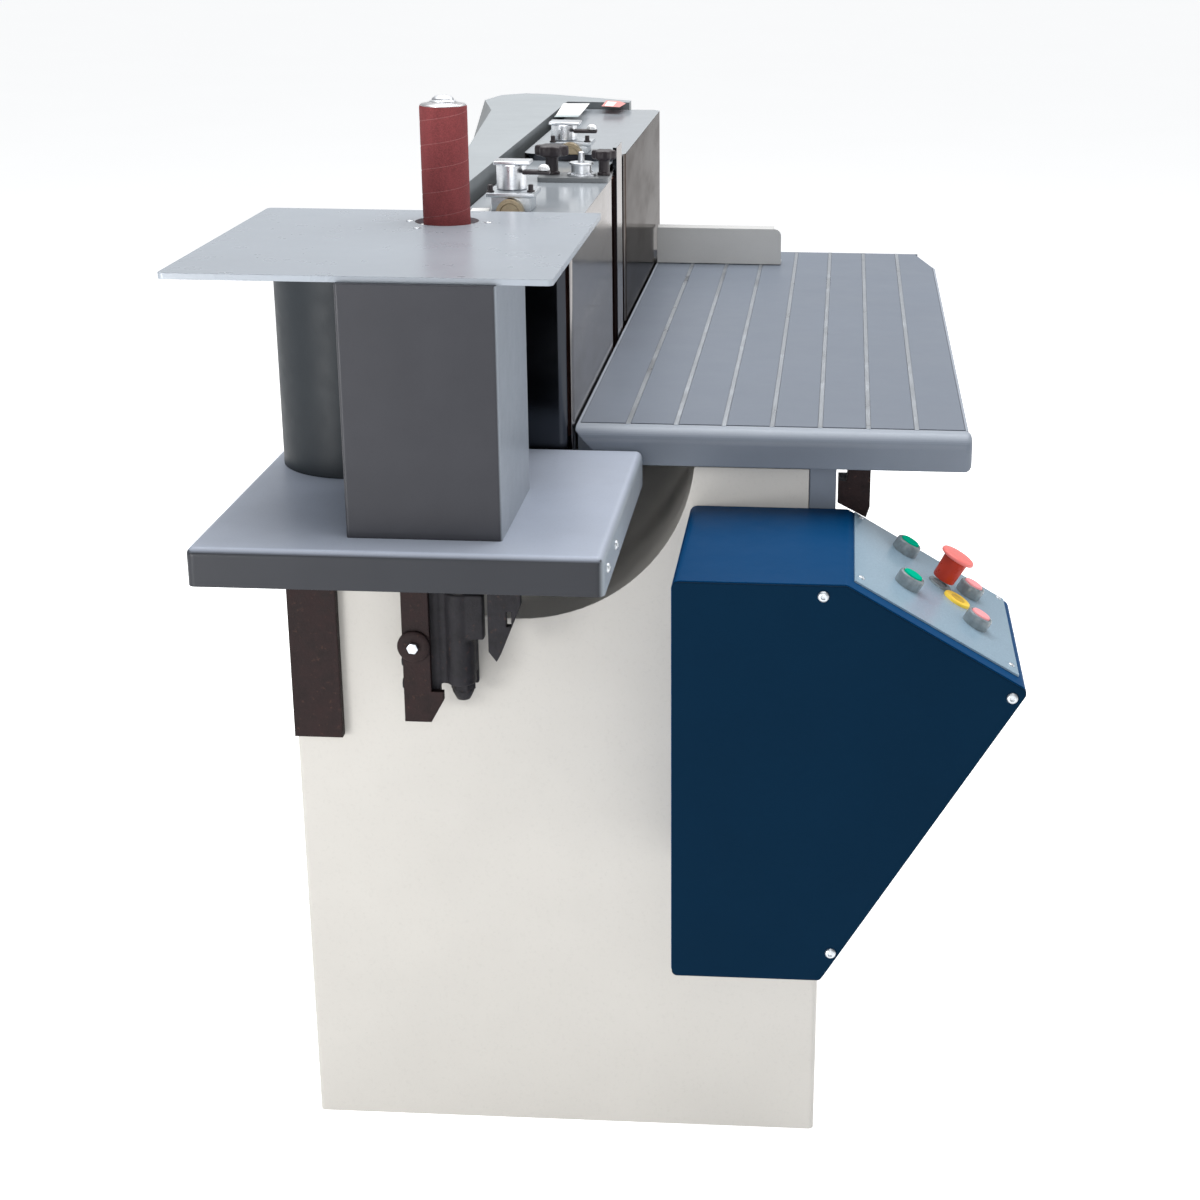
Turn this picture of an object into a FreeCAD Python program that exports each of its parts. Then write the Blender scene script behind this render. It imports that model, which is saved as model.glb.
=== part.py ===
import FreeCAD, Part
import math
import os
import re
import Sketcher

# Edge sander with a small sanding drum.  Millimetres.
# X runs from the belt unit towards the operator's slatted table, Y along the machine,
# Z up.  The origin is the centre of the cabinet's footprint on the floor.
# Every y value below is measured from the cabinet's front face.

DIMS = {
    # cabinet
    "cabinet_width": 634, "cabinet_length": 1180, "cabinet_height": 870, "wall": 3,
    "trough_radius": 211, "trough_x": -47, "trough_z": 891, "corner_round": 6,
    "base_thick": 6, "anchor_x": 250, "anchor_inset": 90, "anchor_radius": 7,
    "notch_width": 23, "notch_depth": 35, "notch_bottom": 800,
    # belt unit
    "unit_right": 28, "unit_width": 138, "unit_front": -25, "unit_back": 1120,
    "casing_bottom": 870, "casing_top": 1140, "far_step": 9, "casing_round": 16,
    "near_back": 405, "far_front": 556, "post_front": 456, "post_back": 519,
    "post_top": 1171, "post_thick": 5, "deck_thick": 12, "deck_front": 200,
    "drum_radius": 60, "drum_inset": 70, "drum_low": 893, "drum_high": 1133,
    "belt_thick": 1.2, "shaft_radius": 12, "bearing_radius": 34,
    "motor_radius": 78, "motor_long": 134, "motor_shaft_low": 722,
    "hood_gap": 12, "hood_flare": 40, "hood_shoulder": 1040, "hood_top": 1160,
    "outlet_radius": 60, "outlet_y": 700, "outlet_z": 960, "outlet_wall": -237, "outlet_long": 93,
    # sanding spindle
    "spindle_x": -104, "spindle_y": -43, "spindle_radius": 10, "fit_gap": 0.05,
    "sleeve_radius": 25.5, "sleeve_wall": 1.5, "sleeve_low": 1142, "sleeve_high": 1275,
    "quill_radius": 16, "quill_low": 800, "quill_high": 1138,
    "pulley_z": 745, "pulley_thick": 26, "small_pulley": 30, "large_pulley": 45,
    # end table group
    "end_left": -297, "end_right": 107, "end_front": -427, "end_back": -31,
    "end_top": 897, "end_thick": 39, "end_round": 8,
    "guard_left": -150, "guard_right": 3, "guard_front": -382, "guard_back": -195,
    "plate_left": -320, "plate_right": 56, "plate_front": -375, "plate_back": 30,
    "plate_top": 1152, "plate_thick": 6, "plate_hole": 34.5,
    "duct_radius": 85, "duct_x": -198, "duct_y": -92,
    # slatted table group
    "side_left": 30, "side_right": 472, "side_front": -30, "side_back": 1148,
    "side_top": 920, "side_deep": 41, "slat_count": 8, "slat_thick": 10,
    "strip_width": 5.5, "lip_width": 26, "lip_round": 16, "rod_radius": 14, "rod_x": 240,
    "fence_width": 198, "fence_y": 1022, "fence_high": 57, "fence_round": 11,
    # belt adjusters and knobs
    "adjuster_x": -57, "adjuster_y": 104, "adjuster_step": 456, "chrome_radius": 17.5,
    "knob_radius": 22, "small_knob": 16, "tracking_y": 380,
    # control box
    "box_left": 158, "box_flat_right": 339, "box_right": 531, "box_low_right": 322,
    "box_top": 824, "box_slope_low": 713, "box_bottom": 367, "box_deep": 274,
    "panel_angle": 30, "panel_long": 201, "panel_wide": 245, "panel_thick": 2,
    "box_round": 9, "cover_round": 6, "bezel_radius": 15, "bezel_high": 14, "cap_radius": 11,
}

WORD = re.compile(r"[a-z][a-z_]*[a-z]")
NODES = {}

doc = FreeCAD.newDocument("edge_sander")
sheet = doc.addObject("Spreadsheet::Sheet", "Dims")
for row, (alias, value) in enumerate(DIMS.items(), start=1):
    sheet.set("A%d" % row, alias)
    sheet.set("B%d" % row, str(value))
    sheet.setAlias("B%d" % row, alias)
doc.recompute()

X_AXIS = FreeCAD.Vector(1, 0, 0)
Y_AXIS = FreeCAD.Vector(0, 1, 0)
Z_AXIS = FreeCAD.Vector(0, 0, 1)


# ---------------------------------------------------------------- helpers

def expr(text):
    """Turn dimension names into references to the sheet."""
    return WORD.sub(lambda m: "Dims." + m.group(0) if m.group(0) in DIMS else m.group(0), str(text))


def bind(obj, prop, text):
    obj.setExpression(prop, expr(text))


def place(obj, x=0, y=0, z=0, axis=Z_AXIS):
    """Put an object at x, y from the cabinet's front face, z from the floor."""
    obj.Placement = FreeCAD.Placement(FreeCAD.Vector(), FreeCAD.Rotation(Z_AXIS, axis))
    bind(obj, "Placement.Base.x", x)
    bind(obj, "Placement.Base.y", "%s - cabinet_length / 2" % y)
    bind(obj, "Placement.Base.z", z)
    return obj


def node(obj, name):
    """Give a finished sub-part the name of its file."""
    obj.Label = name
    NODES[name] = obj
    return obj


def box(name, x, y, z):
    """A block from pairs of limits along each axis."""
    obj = doc.addObject("Part::Box", name)
    for prop, (low, high) in (("Length", x), ("Width", y), ("Height", z)):
        bind(obj, prop, "(%s) - (%s)" % (high, low))
    return place(obj, x[0], y[0], z[0])


def rod(name, radius, length, x, y, z, axis=Z_AXIS):
    obj = doc.addObject("Part::Cylinder", name)
    bind(obj, "Radius", radius)
    bind(obj, "Height", length)
    return place(obj, x, y, z, axis)


def cone(name, low_radius, high_radius, length, x, y, z, axis=Z_AXIS):
    obj = doc.addObject("Part::Cone", name)
    bind(obj, "Radius1", low_radius)
    bind(obj, "Radius2", high_radius)
    bind(obj, "Height", length)
    return place(obj, x, y, z, axis)


def fuse(name, *shapes):
    obj = doc.addObject("Part::MultiFuse", name)
    obj.Shapes = list(shapes)
    return obj


def cut(name, base, *tools):
    obj = doc.addObject("Part::Cut", name)
    obj.Base = base
    obj.Tool = tools[0] if len(tools) == 1 else fuse(name + "_tools", *tools)
    return obj


def group(name, *shapes):
    """Equal pieces kept together as separate solids."""
    obj = doc.addObject("Part::Compound", name)
    obj.Links = list(shapes)
    return obj


def rounded(name, base, radius, chosen):
    """Round the edges of a shape that the test picks."""
    doc.recompute()
    size = sheet.get(radius)
    picked = [i for i, edge in enumerate(base.Shape.Edges, start=1) if chosen(edge)]
    obj = doc.addObject("Part::Fillet", name)
    obj.Base = base
    obj.Edges = [(i, size, size) for i in picked]
    return obj


def along(edge, axis):
    """True for a straight edge that runs along an axis."""
    if not isinstance(edge.Curve, Part.Line):
        return False
    return abs(edge.tangentAt(edge.FirstParameter).dot(axis)) > 0.999


def upright(edge):
    return along(edge, Z_AXIS)


def draw(sketch, points):
    """Draw a closed outline whose corners are tied to the sheet."""
    count = len(points)
    start = [FreeCAD.Vector(math.cos(k * 2 * math.pi / count), math.sin(k * 2 * math.pi / count), 0)
             for k in range(count)]
    for k in range(count):
        sketch.addGeometry(Part.LineSegment(start[k], start[(k + 1) % count]), False)
    for k in range(count):
        sketch.addConstraint(Sketcher.Constraint("Coincident", k, 2, (k + 1) % count, 1))
    for k, (across, up) in enumerate(points):
        for kind, text, first in (("DistanceX", across, start[k].x), ("DistanceY", up, start[k].y)):
            index = sketch.addConstraint(Sketcher.Constraint(kind, -1, 1, k, 1, first))
            label = "%s%d" % (kind[-1].lower() + "_corner", k)
            sketch.renameConstraint(index, label)
            bind(sketch, "Constraints." + label, text)
    sketch.Visibility = False


def flat_outline(name, points, z):
    """A level outline at a height, for a loft."""
    sketch = doc.addObject("Sketcher::SketchObject", name)
    draw(sketch, points)
    return place(sketch, "0", "0", z)


def prism(name, plane, points, depth, reverse=False):
    """A body padded from an outline."""
    body = doc.addObject("PartDesign::Body", name)
    sketch = body.newObject("Sketcher::SketchObject", name + "_outline")
    origin = [item for item in body.Origin.OriginFeatures if item.Role == plane][0]
    sketch.AttachmentSupport = [(origin, "")]
    sketch.MapMode = "FlatFace"
    draw(sketch, points)
    pad = body.newObject("PartDesign::Pad", name + "_pad")
    pad.Profile = sketch
    bind(pad, "Length", depth)
    pad.Reversed = reverse
    return body


# ---------------------------------------------------------------- cabinet

def cabinet():
    half = "cabinet_width / 2"
    outer = box("cabinet_block", ("-" + half, half), ("0", "cabinet_length"), ("0", "cabinet_height"))
    outer = rounded("cabinet_soft_block", outer, "corner_round", upright)
    trough = rod("trough_space", "trough_radius", "cabinet_length + 20",
                 "trough_x", "-10", "trough_z", Y_AXIS)
    notch = box("notch_space", (half + " - notch_width", half + " + 1"), ("-1", "notch_depth"),
                ("notch_bottom", "cabinet_height + 1"))
    inner = box("cabinet_inside", ("wall - " + half, half + " - wall"),
                ("wall", "cabinet_length - wall"), ("-1", "cabinet_height - wall"))
    liner = rod("trough_liner_space", "trough_radius + wall", "cabinet_length",
                "trough_x", "0", "trough_z", Y_AXIS)
    notch_wall = box("notch_wall_space", (half + " - notch_width - wall", half),
                     ("0", "notch_depth + wall"), ("notch_bottom - wall", "cabinet_height"))
    hollow = cut("cabinet_hollow", inner, liner, notch_wall)
    rod_holes = [rod("rod_hole_%d" % k, "rod_radius + 3", "80", "rod_x", y, "cabinet_height - 60")
                 for k, y in enumerate(("250", "900"))]
    node(cut("cabinet", outer, trough, notch, hollow, *rod_holes), "cabinet_shell")

    plate = box("base_block", ("wall + 1 - " + half, half + " - wall - 1"),
                ("wall + 1", "cabinet_length - wall - 1"), ("0", "base_thick"))
    anchors = [rod("anchor_%s_%s" % (side, end), "anchor_radius", "base_thick + 2",
                   x, y, "-1")
               for side, x in (("left", "-anchor_x"), ("right", "anchor_x"))
               for end, y in (("front", "anchor_inset"), ("back", "cabinet_length - anchor_inset"))]
    node(cut("base_plate", plate, *anchors), "cabinet_base")

    panel = box("access_panel_block", ("-%s - 2" % half, "-" + half), ("330", "850"), ("150", "600"))
    slots = [box("vent_slot_%d" % k, ("-%s - 3" % half, "1 - " + half), ("450", "730"),
                 ("%d" % (470 + 22 * k), "%d" % (476 + 22 * k))) for k in range(4)]
    node(cut("access_panel_cut", panel, *slots), "access_panel")


# ---------------------------------------------------------------- belt unit

def sheet_cover(name, y, top):
    """A folded sheet casing over part of the belt, open below and towards the other casing."""
    x = ("unit_right - unit_width", "unit_right")
    outer = rounded(name + "_soft", box(name + "_block", x, y, ("casing_bottom", top)),
                    "casing_round", upright)
    inner = box(name + "_inside", (x[0] + " + wall", x[1] + " - wall"),
                (y[0] + " + wall", y[1] + " - wall"), ("casing_bottom - 1", top + " - wall"))
    doorway = box(name + "_belt_way", (x[0] + " + wall", x[1] + " - wall"),
                  ("near_back - 10", "far_front + 10"), ("casing_bottom - 1", "drum_high + 3"))
    return node(cut(name + "_cover", outer, inner, doorway), name + "_casing")


def belt_unit():
    left = "unit_right - unit_width"
    centre = "unit_right - unit_width / 2"
    near_y = "unit_front + drum_inset"
    far_y = "unit_back - drum_inset"
    sheet_cover("near", ("unit_front", "near_back"), "casing_top")
    sheet_cover("far", ("far_front", "unit_back"), "casing_top + far_step")

    roof = box("bridge_roof", (left, "unit_right - 16"), ("near_back", "far_front"),
               ("casing_top - wall", "casing_top"))
    back = box("bridge_back", (left, left + " + wall"), ("near_back", "far_front"),
               ("casing_bottom", "casing_top"))
    post = box("post", ("unit_right - post_thick", "unit_right"), ("post_front", "post_back"),
               ("casing_bottom", "post_top"))
    node(group("bridge_set", fuse("bridge", roof, back), post), "bridge_cover")

    deck_low = "casing_bottom - 2 - deck_thick"
    wide = box("deck_wide", ("trough_x - 207", "trough_x + 207"), ("deck_front", "unit_back"),
               (deck_low, "casing_bottom - 2"))
    narrow = box("deck_narrow", (left + " - 20", "unit_right - 2"), ("unit_front + 3", "deck_front"),
                 (deck_low, "casing_bottom - 2"))
    rails = [box("deck_rail_%d" % k, (x, x + " + 12"), ("deck_front", "unit_back"),
                 ("casing_bottom - 2", "casing_bottom"))
             for k, x in enumerate((left, "unit_right - 12"))]
    holes = [rod("deck_hole_%s" % end, "shaft_radius + 8", "deck_thick + 20", centre, y, deck_low + " - 10")
             for end, y in (("near", near_y), ("far", far_y))]
    node(cut("deck", fuse("deck_plates", wide, narrow, *rails), *holes), "unit_deck")

    ends = (("near", near_y, "pulley_z - 2"), ("far", far_y, "motor_shaft_low"))
    housings = []
    for end, y, shaft_low in ends:
        shaft = rod(end + "_drum_shaft", "shaft_radius", "casing_top - wall - 3 - (%s)" % shaft_low,
                    centre, y, shaft_low)
        drum = rod(end + "_drum_body", "drum_radius", "drum_high - drum_low", centre, y, "drum_low")
        node(fuse(end + "_drum_all", shaft, drum), end + "_drum")
        housing = rod(end + "_housing", "bearing_radius", "16", centre, y, "casing_bottom - 2")
        bore = rod(end + "_housing_bore", "shaft_radius + fit_gap", "24", centre, y, "casing_bottom - 6")
        housings.append(cut(end + "_bearing", housing, bore))
    node(group("bearings", *housings), "drum_bearings")

    node(belt_loop("abrasive", "drum_radius + 0.3", "belt_thick", centre, near_y, centre, far_y,
                   "drum_low + 4", "drum_high - 4"), "abrasive_belt")

    platen = box("platen_block", ("unit_right - 9 - belt_thick - 6", "unit_right - 9 - belt_thick"),
                 (near_y + " + drum_radius + 10", far_y + " - drum_radius - 10"),
                 ("drum_low + 4", "drum_high - 4"))
    foot = box("platen_foot", ("unit_right - 60", "unit_right - 14"),
               (near_y + " + drum_radius + 10", far_y + " - drum_radius - 10"),
               ("casing_bottom - 2", "casing_bottom + 6"))
    web = box("platen_web", ("unit_right - 40", "unit_right - 34"),
              (near_y + " + drum_radius + 10", far_y + " - drum_radius - 10"),
              ("casing_bottom + 6", "drum_low + 60"))
    shelf = box("platen_shelf", ("unit_right - 40", "unit_right - 12 - belt_thick"),
                (near_y + " + drum_radius + 10", far_y + " - drum_radius - 10"),
                ("drum_low + 54", "drum_low + 60"))
    node(fuse("platen_all", platen, foot, web, shelf), "pressure_platen")

    case = rod("motor_case", "motor_radius", "motor_long", centre, far_y,
               deck_low + " - 18 - motor_long")
    flange = rod("motor_flange", "motor_radius + 12", "18", centre, far_y, deck_low + " - 18")
    bore = rod("motor_bore", "shaft_radius + fit_gap", "motor_long + 40", centre, far_y, "motor_shaft_low - 4")
    node(cut("motor", fuse("motor_solid", case, flange), bore), "drive_motor")


def belt_loop(name, radius, thick, x1, y1, x2, y2, low, high):
    """A closed band round two equal wheels that stand in line along Y."""
    def stadium(tag, size):
        ends = [rod("%s_%s_%d" % (name, tag, k), size, "(%s) - (%s)" % (high, low), x, y, low)
                for k, (x, y) in enumerate(((x1, y1), (x2, y2)))]
        middle = box("%s_%s_run" % (name, tag), ("(%s) - (%s)" % (x1, size), "(%s) + (%s)" % (x1, size)),
                     (y1, y2), (low, high))
        return fuse("%s_%s" % (name, tag), middle, *ends)
    return cut(name + "_band", stadium("outside", radius + " + " + thick), stadium("inside", radius))


def hood_solid(name, low_z, inset):
    """The hood's closed outer form, or the space inside it when an inset is given.

    Each corner is x, y, then how much of the inset goes along x and y."""
    right = "unit_right - unit_width - hood_gap"
    back = "unit_back + 2"
    front = [(right, "150", -1, 1)]
    leaning = [(right + " - 22", "150", 1, 1), ("-223", "984", 1, 0), ("-257", "1130", 1, 0),
               ("-243", "1212", 1, -0.5), ("-207", "1246", 0.5, -1)]
    corner = [("-160", "1234", 0, -1.2)]
    low_corner = [("-130", "1216", 0, -1.2)]
    behind = [("-22", "1152", -1, -1.5), ("-22", back, -1, 1), (right, back, -1, 1)]

    def level(tag, points, z):
        moved = [("%s + %s * (%s)" % (x, dx, inset), "%s + %s * (%s)" % (y, dy, inset))
                 for x, y, dx, dy in points]
        return flat_outline("%s_%s" % (name, tag), moved, z)

    low = front + [(x + " - hood_flare", y, dx, dy) for x, y, dx, dy in leaning] + low_corner + behind
    top = front + leaning + corner + behind
    loft = doc.addObject("Part::Loft", name)
    loft.Sections = [level("foot", low, low_z), level("shoulder", low, "hood_shoulder"),
                     level("roof", top, "hood_top - (%s)" % inset)]
    loft.Solid = True
    loft.Ruled = True
    return loft


def hood():
    """Dust hood behind the belt unit, whose outer sides lean out below a shoulder."""
    shell = hood_solid("hood_outside", "casing_bottom", "0")
    space = hood_solid("hood_inside", "casing_bottom - 1", "wall")
    port = ("outlet_y", "outlet_z", X_AXIS)
    hole = rod("hood_port_hole", "outlet_radius - wall", "60", "outlet_wall - 30", *port)
    node(cut("hood_cover", shell, space, hole), "belt_hood")

    pipe = rod("outlet_pipe", "outlet_radius", "outlet_long", "outlet_wall - outlet_long", *port)
    rim = rod("outlet_rim", "outlet_radius + 12", "20", "outlet_wall - 14", *port)
    bore = rod("outlet_bore", "outlet_radius - wall", "outlet_long + 60",
               "outlet_wall - outlet_long - 10", *port)
    node(cut("outlet", fuse("outlet_solid", pipe, rim), bore, shell), "dust_outlet")


# ---------------------------------------------------------------- sanding spindle

def spindle():
    x, y = "spindle_x", "spindle_y"
    shaft = rod("spindle_bar", "spindle_radius", "sleeve_high + 6 - 612", x, y, "612")
    foot = fuse("spindle_foot_set", hexagon("spindle_foot", 14.5, "9", x, y, "607"),
                cone("spindle_foot_end", "8", "13", "12", x, y, "595"))
    node(fuse("spindle_all", shaft, foot), "spindle_shaft")

    quill = rod("quill_tube", "quill_radius", "quill_high - quill_low", x, y, "quill_low")
    web = box("quill_web", (x + " - 9", x + " + 9"), (y, "unit_front"), ("casing_bottom + 10", "quill_high - 12"))
    bore = rod("quill_bore", "spindle_radius + fit_gap", "quill_high - quill_low + 20", x, y, "quill_low - 10")
    node(cut("quill", fuse("quill_solid", quill, web), bore), "spindle_housing")

    long = "sleeve_high - sleeve_low"
    core = rod("core_solid", "sleeve_radius - sleeve_wall", long, x, y, "sleeve_low")
    core_bore = rod("core_bore", "spindle_radius", long + " + 2", x, y, "sleeve_low - 1")
    node(cut("core", core, core_bore), "rubber_drum")
    skin = rod("sleeve_solid", "sleeve_radius", long, x, y, "sleeve_low")
    skin_bore = rod("sleeve_bore", "sleeve_radius - sleeve_wall", long + " + 2", x, y, "sleeve_low - 1")
    node(cut("sleeve", skin, skin_bore), "sanding_sleeve")
    cap = rod("cap_solid", "sleeve_radius - 1", "4", x, y, "sleeve_high")
    cap_bore = rod("cap_bore", "spindle_radius", "6", x, y, "sleeve_high - 1")
    node(cut("cap", cap, cap_bore), "drum_cap")
    skirt = rod("nut_skirt", "spindle_radius + 4", "2", x, y, "sleeve_high + 4")
    dome = cone("nut_dome", "spindle_radius + 2", "spindle_radius - 5", "5", x, y, "sleeve_high + 6")
    thread = rod("nut_thread", "spindle_radius", "4", x, y, "sleeve_high + 2")
    node(cut("nut", fuse("nut_solid", skirt, dome), thread), "spindle_nut")

    centre = "unit_right - unit_width / 2"
    drum_y = "unit_front + drum_inset"
    grooved("spindle_pulley", "small_pulley", "spindle_radius", x, y)
    grooved("drum_pulley", "large_pulley", "shaft_radius", centre, drum_y)
    node(open_drive_belt(), "spindle_drive_belt")


def hexagon(name, radius, thick, x, y, z, axis=Z_AXIS):
    obj = doc.addObject("Part::Prism", name)
    obj.Polygon = 6
    bind(obj, "Circumradius", radius)
    bind(obj, "Height", thick)
    return place(obj, x, y, z, axis)


def grooved(name, radius, bore, x, y):
    """A flat-belt pulley with two rims."""
    rim = "%s + 4" % radius
    solid = fuse(name + "_solid",
                 rod(name + "_face", radius, "pulley_thick", x, y, "pulley_z"),
                 rod(name + "_low_rim", rim, "3", x, y, "pulley_z"),
                 rod(name + "_high_rim", rim, "3", x, y, "pulley_z + pulley_thick - 3"))
    hole = rod(name + "_hole", bore, "pulley_thick + 2", x, y, "pulley_z - 1")
    node(cut(name + "_all", solid, hole), name)


def open_drive_belt():
    """Flat belt round the two unequal pulleys, drawn from their common tangents."""
    get = sheet.get
    shift = get("cabinet_length") / 2
    a = FreeCAD.Vector(get("spindle_x"), get("spindle_y") - shift, 0)
    b = FreeCAD.Vector(get("unit_right") - get("unit_width") / 2,
                       get("unit_front") + get("drum_inset") - shift, 0)

    def loop(extra):
        ra = get("small_pulley") + extra
        rb = get("large_pulley") + extra
        along_line = (b - a).normalize()
        across = FreeCAD.Vector(-along_line.y, along_line.x, 0)
        lean = math.asin((rb - ra) / a.distanceToPoint(b))
        left = across * math.cos(lean) - along_line * math.sin(lean)
        right = across * -math.cos(lean) - along_line * math.sin(lean)
        edges = [Part.LineSegment(a + left * ra, b + left * rb),
                 Part.Arc(b + left * rb, b + along_line * rb, b + right * rb),
                 Part.LineSegment(b + right * rb, a + right * ra),
                 Part.Arc(a + right * ra, a - along_line * ra, a + left * ra)]
        return Part.Face(Part.Wire([edge.toShape() for edge in edges]))

    band = loop(3.3).cut(loop(0.3)).extrude(FreeCAD.Vector(0, 0, get("pulley_thick") - 8))
    band.translate(FreeCAD.Vector(0, 0, get("pulley_z") + 4))
    feature = doc.addObject("Part::Feature", "drive_belt_band")
    feature.Shape = band
    return feature


# ---------------------------------------------------------------- end table

def end_table():
    x = ("end_left", "end_right")
    y = ("end_front", "end_back")
    block = rounded("end_soft_corners", box("end_block", x, y, ("end_top - end_thick", "end_top")),
                    "end_round", upright)
    block = rounded("end_soft_top", block, "end_round",
                    lambda edge: abs(edge.CenterOfMass.z - sheet.get("end_top")) < 0.1)
    inside = box("end_inside", ("end_left + wall", "end_right - wall"), ("end_front + wall", "end_back - wall"),
                 ("end_top - end_thick - 1", "end_top - wall"))
    notch = box("end_notch", ("spindle_x - 26", "spindle_x + 26"), ("spindle_y - 24", "end_back + 1"),
                ("end_top - end_thick - 2", "end_top + 1"))
    node(cut("end_pan", block, inside, notch), "end_table")

    screws = []
    for k, y_pos in enumerate(("-324", "-397")):
        screws.append(rod("edge_screw_%d" % k, "5", "3", "end_right", y_pos, "878", X_AXIS))
    for k, (px, py) in enumerate((("spindle_x - 40", "spindle_y - 4"), ("spindle_x - 23", "spindle_y - 50"),
                                  ("spindle_x + 46", "spindle_y - 6"))):
        screws.append(rod("plate_screw_%d" % k, "4", "0.8", px, py, "plate_top"))
    node(group("table_screw_set", *screws), "table_screws")

    guard_z = ("end_top", "plate_top - plate_thick")
    guard = box("guard_block", ("guard_left", "guard_right"), ("guard_front", "guard_back"), guard_z)
    guard = rounded("guard_soft", guard, "wall", upright)
    space = box("guard_inside", ("guard_left + wall", "guard_right - wall"),
                ("guard_front + wall", "guard_back - wall"), (guard_z[0] + " - 1", guard_z[1] + " - wall"))
    node(cut("guard", guard, space), "guard_column")

    duct = rod("duct_solid", "duct_radius", "plate_top - plate_thick - end_top", "duct_x", "duct_y", "end_top")
    duct_in = rod("duct_inside", "duct_radius - wall", "plate_top", "duct_x", "duct_y", "end_top - 1")
    duct_cut = box("duct_trim", ("spindle_x - 40", "spindle_x + 60"), ("duct_y - 100", "duct_y + 100"),
                   ("end_top - 1", "plate_top"))
    back_cut = box("duct_back_trim", ("duct_x - 120", "duct_x + 120"), ("end_back", "end_back + 80"),
                   ("end_top - 1", "plate_top"))
    node(cut("duct", duct, duct_in, duct_cut, back_cut), "dust_duct")

    plate = rounded("plate_soft", box("plate_block", ("plate_left", "plate_right"),
                                      ("plate_front", "plate_back"),
                                      ("plate_top - plate_thick", "plate_top")), "plate_thick", upright)
    hole = rod("plate_opening", "plate_hole", "plate_thick + 2", "spindle_x", "spindle_y",
               "plate_top - plate_thick - 1")
    node(cut("plate", plate, hole), "top_plate")

    upright_plate = box("upright_block", ("-cabinet_width / 2 + 1", "-258"), ("-13", "-1"),
                        ("527", "end_top - end_thick"))
    bar = prism("bar_profile", "XZ_Plane", (("-169", "574"), ("-138", "574"), ("-123", "601"),
                                            ("-123", "612"), ("-137", "612"),
                                            ("-137", "end_top - end_thick"), ("-168", "end_top - end_thick")), "8")
    place(bar, "0", "-61", "0")
    bolt_hole = rod("clamp_bolt_hole", "5.3", "20", "-155", "-75", "668", Y_AXIS)
    node(group("guide_bar_set", upright_plate, cut("bar_drilled", bar, bolt_hole)), "guide_bars")
    flange = prism("flange_profile", "XZ_Plane", (("-57", "657"), ("-52", "666"), ("-28", "726"),
                                                  ("-28", "end_top - end_thick"),
                                                  ("-66", "end_top - end_thick"), ("-66", "669")), "10")
    place(flange, "0", "-74", "0")
    window = box("flange_window", ("-45", "-39"), ("-90", "-70"), ("700", "718"))
    node(cut("flange_pierced", flange, window), "table_gusset")
    washer = rod("clamp_washer", "19", "5", "-155", "-69", "668", -Y_AXIS)
    stem = rod("clamp_stem", "5", "30", "-155", "-48", "668", -Y_AXIS)
    head = hexagon("clamp_head", 8, "6", "-155", "-74", "668", -Y_AXIS)
    node(fuse("clamp_bolt_solid", washer, stem, head), "clamp_bolt")


def height_bracket():
    """Fixed casting that guides the end table's bar and carries the spindle's foot."""
    body = box("casting_body", ("-130", "spindle_x + 12"), ("-58", "0"), ("618", "730"))
    boss = rod("casting_boss", "17", "112", "spindle_x", "spindle_y - 8", "618")
    lug = box("casting_lug", ("-146", "-128"), ("-58", "0"), ("640", "690"))
    arm = box("casting_arm", ("-167", "-128"), ("-60", "-50"), ("606", "736"))
    bridge = box("casting_bridge", ("spindle_x + 10", "-74"), ("-66", "-52"), ("676", "730"))
    foot = box("casting_foot", ("-140", "spindle_x + 12"), ("-8", "0"), ("600", "672"))
    nuts = [hexagon("side_nut_%d" % k, 7.5, "6", "-167", "-53", z, -X_AXIS)
            for k, z in enumerate(("616", "644"))]
    bore = rod("casting_bore", "spindle_radius + fit_gap", "160", "spindle_x", "spindle_y", "590")
    slot = box("casting_slot", ("-161", "-149"), ("-70", "-40"), ("656", "722"))
    solid = fuse("casting_solid", body, boss, lug, arm, bridge, foot, *nuts)
    node(cut("casting", solid, bore, slot), "height_casting")


# ---------------------------------------------------------------- slatted table

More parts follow.
